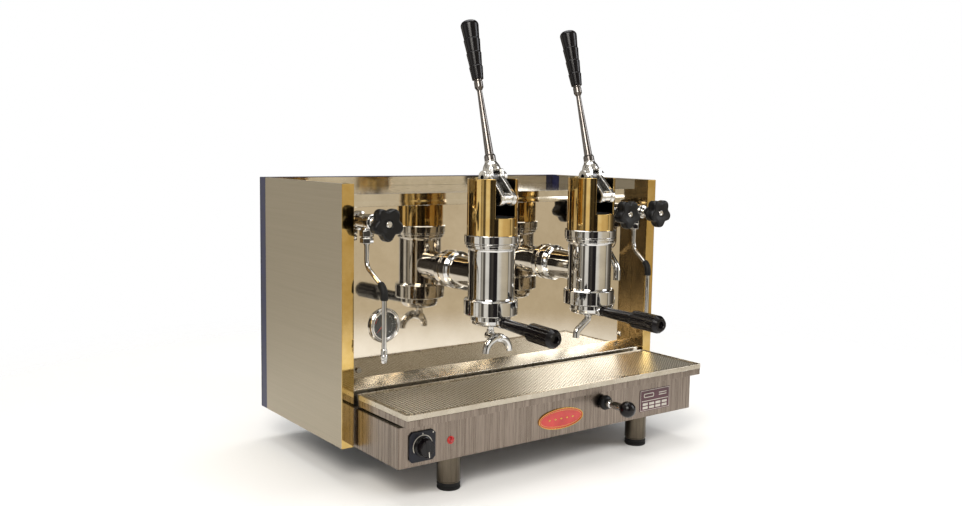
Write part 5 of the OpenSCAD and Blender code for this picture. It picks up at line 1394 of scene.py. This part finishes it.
class ESPRESSO_OT_portafilters(bpy.types.Operator):
    """Makes the portafilter bowls, their fluted handles and the coffee spouts"""

    bl_idname = "espresso.portafilters"
    bl_label = "Portafilters"

    def execute(self, context):
        for side in SIDES:
            node, handle_node = f"{side}_portafilter", f"{side}_portafilter_handle"
            axis = middle(f"{side}_spring_sleeve")
            axis_place = at(axis.x, axis.y) @ turn("Z", HANDLE_TURN[side])
            low, high = mm_box(node)
            handle_low, handle_high = mm_box(handle_node)
            handle_z = (handle_low.z + handle_high.z) / 2
            parts = [moved(self.bowl(low.z, high.z - 1), axis_place)]
            for angle in (0, 180):
                ear = [(0, 0)] + arc(38.3, range(-18, 19, 3))
                solid = soften(slab(ear, *EAR_LEVELS), 0.5)
                parts.append(moved(solid, axis_place @ turn("Z", angle)))
            socket = lathe(fillet([(0, 29), (9.5, 29), (9.5, 35.5), (8.2, 38.5), (7.4, 39.5), (7.4, 42),
                                   (0, 42)],
                                  [0, 0, 1.2, 2, 0.5, 0.6, 0], 4), 64)
            parts.append(moved(socket, axis_place @ at(0, 0, handle_z) @ FRONTWARDS))
            piece(f"{side}_bowl", joined(*parts), "chrome_plate", node, [node])
            basket = lathe(fillet([(0, 263.2), (30.6, 263.2), (30.6, 285.1), (32.4, 285.1), (32.4, 286),
                                   (29.7, 286), (29.7, 264.2), (0, 264.2)], 0.3, 2), 96)
            piece(f"{side}_basket", moved(basket, axis_place), "satin_stainless", node)
            handle = moved(self.handle(HANDLE_REACH), axis_place @ at(0, 0, handle_z) @ FRONTWARDS)
            piece(f"{side}_handle_moulding", handle, "gloss_grip", handle_node, [handle_node])
        self.spouts()
        return {"FINISHED"}

    def bowl(self, low, high):
        r, wall = 34.0, 3.0
        return lathe(fillet([(3, low), (r - 9, low), (r - 2.2, low + 2.6), (r, low + 9), (r, high),
                             (r - wall, high), (r - wall, low + wall + 6), (3, low + wall)],
                            [0.3, 3, 5, 3, 0.6, 0.6, 4, 0.3], 5, True),
                     112, closed=True)

    def handle(self, reach):
        """Slim waisted neck that swells into a fluted end with a round bore."""
        start, thick = 41.0, reach - 64
        profile = fillet([(0, start), (8.5, start), (8.9, start + 3), (8.0, start + 6), (8.6, start + 12),
                          (9.9, thick - 9), (10.4, thick - 5.6), (14.9, thick + 0.6)],
                         [0, 0.8, 1, 1.5, 8, 1.0, 1.2, 0], 4)
        end = fillet([(14.9, thick + 0.6), (15, reach - 7), (10.8, reach - 0.4), (9.6, reach - 0.4),
                      (9.2, reach), (6.6, reach), (5.8, reach - 1), (5.8, reach - 6), (0, reach - 6)],
                     [0, 1.2, 0.6, 0.2, 0.2, 0.4, 0.3, 0.2, 0], 4)
        fluted = [Vector((14.9 + 0.1 * k / 13, thick + 0.6 + (reach - 9 - thick - 0.6) * k / 13))
                  for k in range(1, 13)]
        bm = lathe(profile + fluted + end[1:], 96)
        flutes, depth = 8, 1.7
        for v in bm.verts:
            x, y, z = v.co / MM
            r = math.hypot(x, y)
            if r < 12 or z < thick + 1:
                continue
            along = min(1, (z - thick - 1) / 4) * min(1, max(0, (reach - 6 - z) / 4))
            groove = max(0.0, math.cos(flutes * math.atan2(y, x))) ** 2.5
            shrunk = r - depth * groove * along
            v.co.x, v.co.y = x / r * shrunk * MM, y / r * shrunk * MM
        return bm

    def spouts(self):
        axis = middle("left_spring_sleeve")
        r, gap, bore = 6.0, 24.0, 4.6
        arch_z, front = mm_box("left_spout")[0].z, -20
        place = at(axis.x, axis.y)
        parts = []
        for way in (-1, 1):
            path = [(way * gap * math.sin(math.radians(a)), front,
                     arch_z + 0.1 + gap * math.cos(math.radians(a)))
                    for a in range(0, 91, 6)]
            swell = [r - 0.4 + 2.0 * math.cos(math.radians(a)) ** 1.5 for a in range(0, 91, 6)]
            parts.append(sweep(path, swell[:-2] + [r - 0.2, r - 0.2], 28, (bore, 8)))
        boss_z = arch_z + gap
        hub = [(0, 8, boss_z), (0, 7, boss_z), (0, front - 5, boss_z), (0, front - 7.5, boss_z),
               (0, front - 8, boss_z)]
        parts.append(sweep(hub, [5, 7, 7, 6, 5], 32, (2.6, 3)))
        parts.append(lathe(fillet([(0, boss_z), (6.3, boss_z), (6.3, 243), (5.8, 244), (6.0, 249),
                                   (9, 249.2), (9, SPOUT_TOP), (0, SPOUT_TOP)],
                                  0.6, 3), 48))
        piece("left_double_spout", moved(joined(*parts), place), "chrome_plate", "left_spout",
              ["left_spout"])
        axis = middle("right_spring_sleeve")
        low = mm_box("right_spout")[0]
        path = [(0, 0, SPOUT_TOP), (0, 0, 240), (-27, 0, 221), (-27.6, 0, low.z + 0.2)]
        path = fillet(path, [0, 13, 12, 0], 9)
        tube = sweep(path, r, 32, (bore, 10))
        nut = lathe(fillet([(0, 246), (7.4, 246), (7.4, 250), (9, 250.4), (9, SPOUT_TOP), (0, SPOUT_TOP)],
                           0.6, 3), 48)
        piece("right_single_spout", moved(joined(tube, nut), at(axis.x, axis.y)), "chrome_plate",
              "right_spout", ["right_spout"])


# ---- Valves ---------------------------------------------------------------------------

# Distance of the valve outlets from the splash panel, and lower and upper end of the spigots in
# them, in millimetres
OUTLET = 27
SPIGOT = (387.2, 409)

class ESPRESSO_OT_valves(bpy.types.Operator):
    """Makes the valve bodies with their outlet nuts and the star knobs"""

    bl_idname = "espresso.valves"
    bl_label = "Valves"

    def execute(self, context):
        low, high = mm_box("valve_bodies")
        panel = mm_box("splash_panel")[0].y
        bodies = []
        for knob in ("left_steam_knob", "right_steam_knob", "water_knob"):
            c = middle(knob)
            front, out = mm_box(knob)[0].y, panel - low.y
            place = at(c.x, panel, c.z) @ FRONTWARDS
            bodies.append(moved(self.body(out, high.y - panel), place))
            outlet = at(c.x, panel - OUTLET)
            nut = joined(soften(slab(circle(11.2, 6), 390, 398.6), 0.8, 3),
                         soften(slab(circle(12, 6), 400.4, 411), 0.9, 3),
                         lathe(fillet([(0, 398), (9.2, 398), (9.2, 401), (0, 401)], 0.2, 2), 48))
            stub = lathe(fillet([(0, 411), (10, 411), (10, 413), (9.4, 415), (9.4, c.z), (0, c.z)], 0.5, 3),
                         48)
            bodies += [moved(nut, outlet @ turn("Z", 30)), moved(stub, outlet)]
            self.knob(knob, c, front)
        piece("valve_castings", joined(*bodies), "chrome_plate", "valve_bodies", ["valve_bodies"])
        return {"FINISHED"}

    def body(self, out, deep):
        flange = 3.0
        return lathe(fillet([(0, -deep), (9.8, -deep), (9.8, 0), (16, 0), (16, flange),
                             (12.4, flange + 1.2), (12.4, out - 27), (13, out - 25), (13, out - 12),
                             (11.6, out - 10.4), (8.5, out - 9.8), (8.5, out - 2), (7.4, out), (0, out)],
                            [0, 0.8, 0.2, 0.6, 0.8, 0.6, 1, 0.8, 1.4, 0.8, 0.5, 1.2, 0.6, 0], 4), 72)

    def knob(self, node, c, front):
        """Star knob with round lobes, a dished face and a chrome cap screw."""
        stem_end = mm_box(node)[1].y - front
        count = sizes().lobes
        r = 27.5
        place = at(c.x, front, c.z) @ turn("X", -90)

        def rim(a, shrink):
            wave = 0.5 - 0.5 * math.cos(count * a)
            return (r - shrink) - 6.6 * wave ** 1.25

        rows = [(4.6, 0.0), (2.6, 0.5), (1.1, 1.8), (0.3, 3.6), (0, 6), (0, 14), (0.4, 16.6), (1.6, 18.6),
                (3.6, 19.7), (6, 20)]
        bm = bmesh.new()
        rings = []
        turns = full_turn(30 * count)
        for shrink, z in rows:
            rings.append([bm.verts.new((rim(a, shrink) * math.sin(a) * MM,
                                        rim(a, shrink) * math.cos(a) * MM, z * MM))
                          for a in turns])
        for radius, z in ((14, 0.6), (9.4, 1.0), (7.4, 1.3), (6.5, 2.2), (6.5, 5)):
            rings.insert(0, [bm.verts.new((radius * math.sin(a) * MM, radius * math.cos(a) * MM, z * MM))
                             for a in turns])
        for a, b in zip(rings, rings[1:]):
            stitch(bm, a, b)
        bm.faces.new(rings[0])
        bm.faces.new(rings[-1])
        hub = lathe(fillet([(0, 19), (11, 19), (11, 33), (9.6, 37.5), (0, 37.5)], [0, 0, 2, 1, 0], 4), 64)
        piece(f"{node}_moulding", moved(joined(bm, hub), place), "moulded_knob", node, [node])
        cap = lathe(fillet([(0, 1.8), (2.6, 1.8), (2.6, 0.9), (4.6, 0.9), (5.2, 1.6), (5.2, 5.2), (0, 5.2)],
                           0.4, 2), 40)
        stem = lathe([(0, 30), (4.45, 30), (4.45, stem_end), (0, stem_end)], 32)
        piece(f"{node}_cap_screw", moved(joined(cap, stem), place), "chrome_plate", node)


# Turn of each steam tube about its nut at rest, in degrees
WAND_TURN = {"left": 0, "right": -15}


class ESPRESSO_OT_wands(bpy.types.Operator):
    """Makes the steam tubes with their rubber sleeves and nozzles, and the water spout"""

    bl_idname = "espresso.wands"
    bl_label = "Steam Tubes"

    def execute(self, context):
        panel = mm_box("splash_panel")[0].y
        outlet = panel - OUTLET
        for side in SIDES:
            node, grip_node = f"{side}_steam_wand", f"{side}_wand_grip"
            low = mm_box(node)[0]
            axis = Vector(JOINTS[f"{side}_steam_wand_swivel"]["pos_m"]) / MM
            swung = at(axis.x, axis.y) @ turn("Z", WAND_TURN[side])
            tip_y = -56.0
            path = [(0, 0, 406), (0, 0, 352), (0, tip_y, 322), (0, tip_y, low.z + 3)]
            route = fillet(path, [0, 20, 20, 0], 10)
            tube = sweep(route, 4.0, 28)
            spigot = lathe(fillet([(0, SPIGOT[0]), (4.95, SPIGOT[0]), (4.95, SPIGOT[1]), (0, SPIGOT[1])],
                                  0.5, 2), 40)
            nozzle = lathe(fillet([(0, low.z), (2.6, low.z), (4.6, low.z + 1.2), (5.5, low.z + 5),
                                   (5.5, low.z + 8), (6.2, low.z + 9.5), (6.2, low.z + 13),
                                   (5.3, low.z + 15), (5.1, low.z + 22), (4.1, low.z + 24),
                                   (0, low.z + 24)],
                                  0.8, 3), 56)
            parts = joined(tube, spigot, moved(nozzle, at(0, tip_y)))
            piece(f"{side}_steam_tube", moved(parts, swung), "chrome_plate", node, [node])
            piece(f"{side}_wand_sleeve", moved(self.sleeve(route), swung), "black_rubber", grip_node,
                  [grip_node])
        self.water(panel, outlet)
        return {"FINISHED"}

    def sleeve(self, route):
        """Rubber sleeve over the lower bend, a little thicker at its ends."""
        inside = [p for p in route if 304 < p.z < 328]
        first = inside[0] + (inside[0] - inside[1]).normalized() * 1.5
        last = Vector((inside[-1].x, inside[-1].y, 304.2))
        path = [first] + inside + [last + Vector((0, 0, 2)), last]
        radii = [5.5] + [6.1] * (len(path) - 3) + [6.2, 5.7]
        return sweep(path, radii, 32)

    def water(self, panel, outlet):
        node = "water_spout"
        low = mm_box(node)[0]
        x = middle(node).x
        path = [(x, outlet, 406), (x, outlet, 366), (x, panel - 66, 322), (x, panel - 66, low.z + 0.2)]
        tube = sweep(fillet(path, [0, 26, 26, 0], 12), 7.0, 36, (5.6, 14))
        spigot = lathe(fillet([(0, SPIGOT[0]), (7.95, SPIGOT[0]), (7.95, SPIGOT[1]), (0, SPIGOT[1])], 0.5,
                              2), 48)
        piece("water_spout_tube", joined(tube, moved(spigot, at(x, outlet))), "chrome_plate", node, [node])


# ---- Panel and run --------------------------------------------------------------------


STEPS = (
    ESPRESSO_OT_stage, ESPRESSO_OT_finishes, ESPRESSO_OT_case, ESPRESSO_OT_screws, ESPRESSO_OT_grate,
    ESPRESSO_OT_plates, ESPRESSO_OT_switch, ESPRESSO_OT_fill_valve, ESPRESSO_OT_feet, ESPRESSO_OT_gauges,
    ESPRESSO_OT_groups, ESPRESSO_OT_sleeves, ESPRESSO_OT_levers, ESPRESSO_OT_portafilters,
    ESPRESSO_OT_valves, ESPRESSO_OT_wands,
)


class ESPRESSO_PT_machine(bpy.types.Panel):
    """Lists the sizes, the colours and the steps"""

    bl_label = "Espresso Machine"
    bl_idname = "ESPRESSO_PT_machine"
    bl_space_type = "VIEW_3D"
    bl_region_type = "UI"
    bl_category = "Espresso"

    def draw(self, context):
        layout = self.layout
        for group in (context.scene.espresso_sizes, context.scene.espresso_colours):
            for name in group.__annotations__:
                layout.prop(group, name)
        for step in STEPS:
            layout.operator(step.bl_idname)


CLASSES = (MachineSizes, MachineColours) + STEPS + (ESPRESSO_PT_machine,)


def register():
    for kind in CLASSES:
        bpy.utils.register_class(kind)
    bpy.types.Scene.espresso_sizes = PointerProperty(type=MachineSizes)
    bpy.types.Scene.espresso_colours = PointerProperty(type=MachineColours)


def unregister():
    del bpy.types.Scene.espresso_sizes
    del bpy.types.Scene.espresso_colours
    for kind in reversed(CLASSES):
        bpy.utils.unregister_class(kind)


def main():
    register()
    for step in STEPS:
        group, name = step.bl_idname.split(".")
        getattr(getattr(bpy.ops, group), name)()


if __name__ == "__main__":
    main()
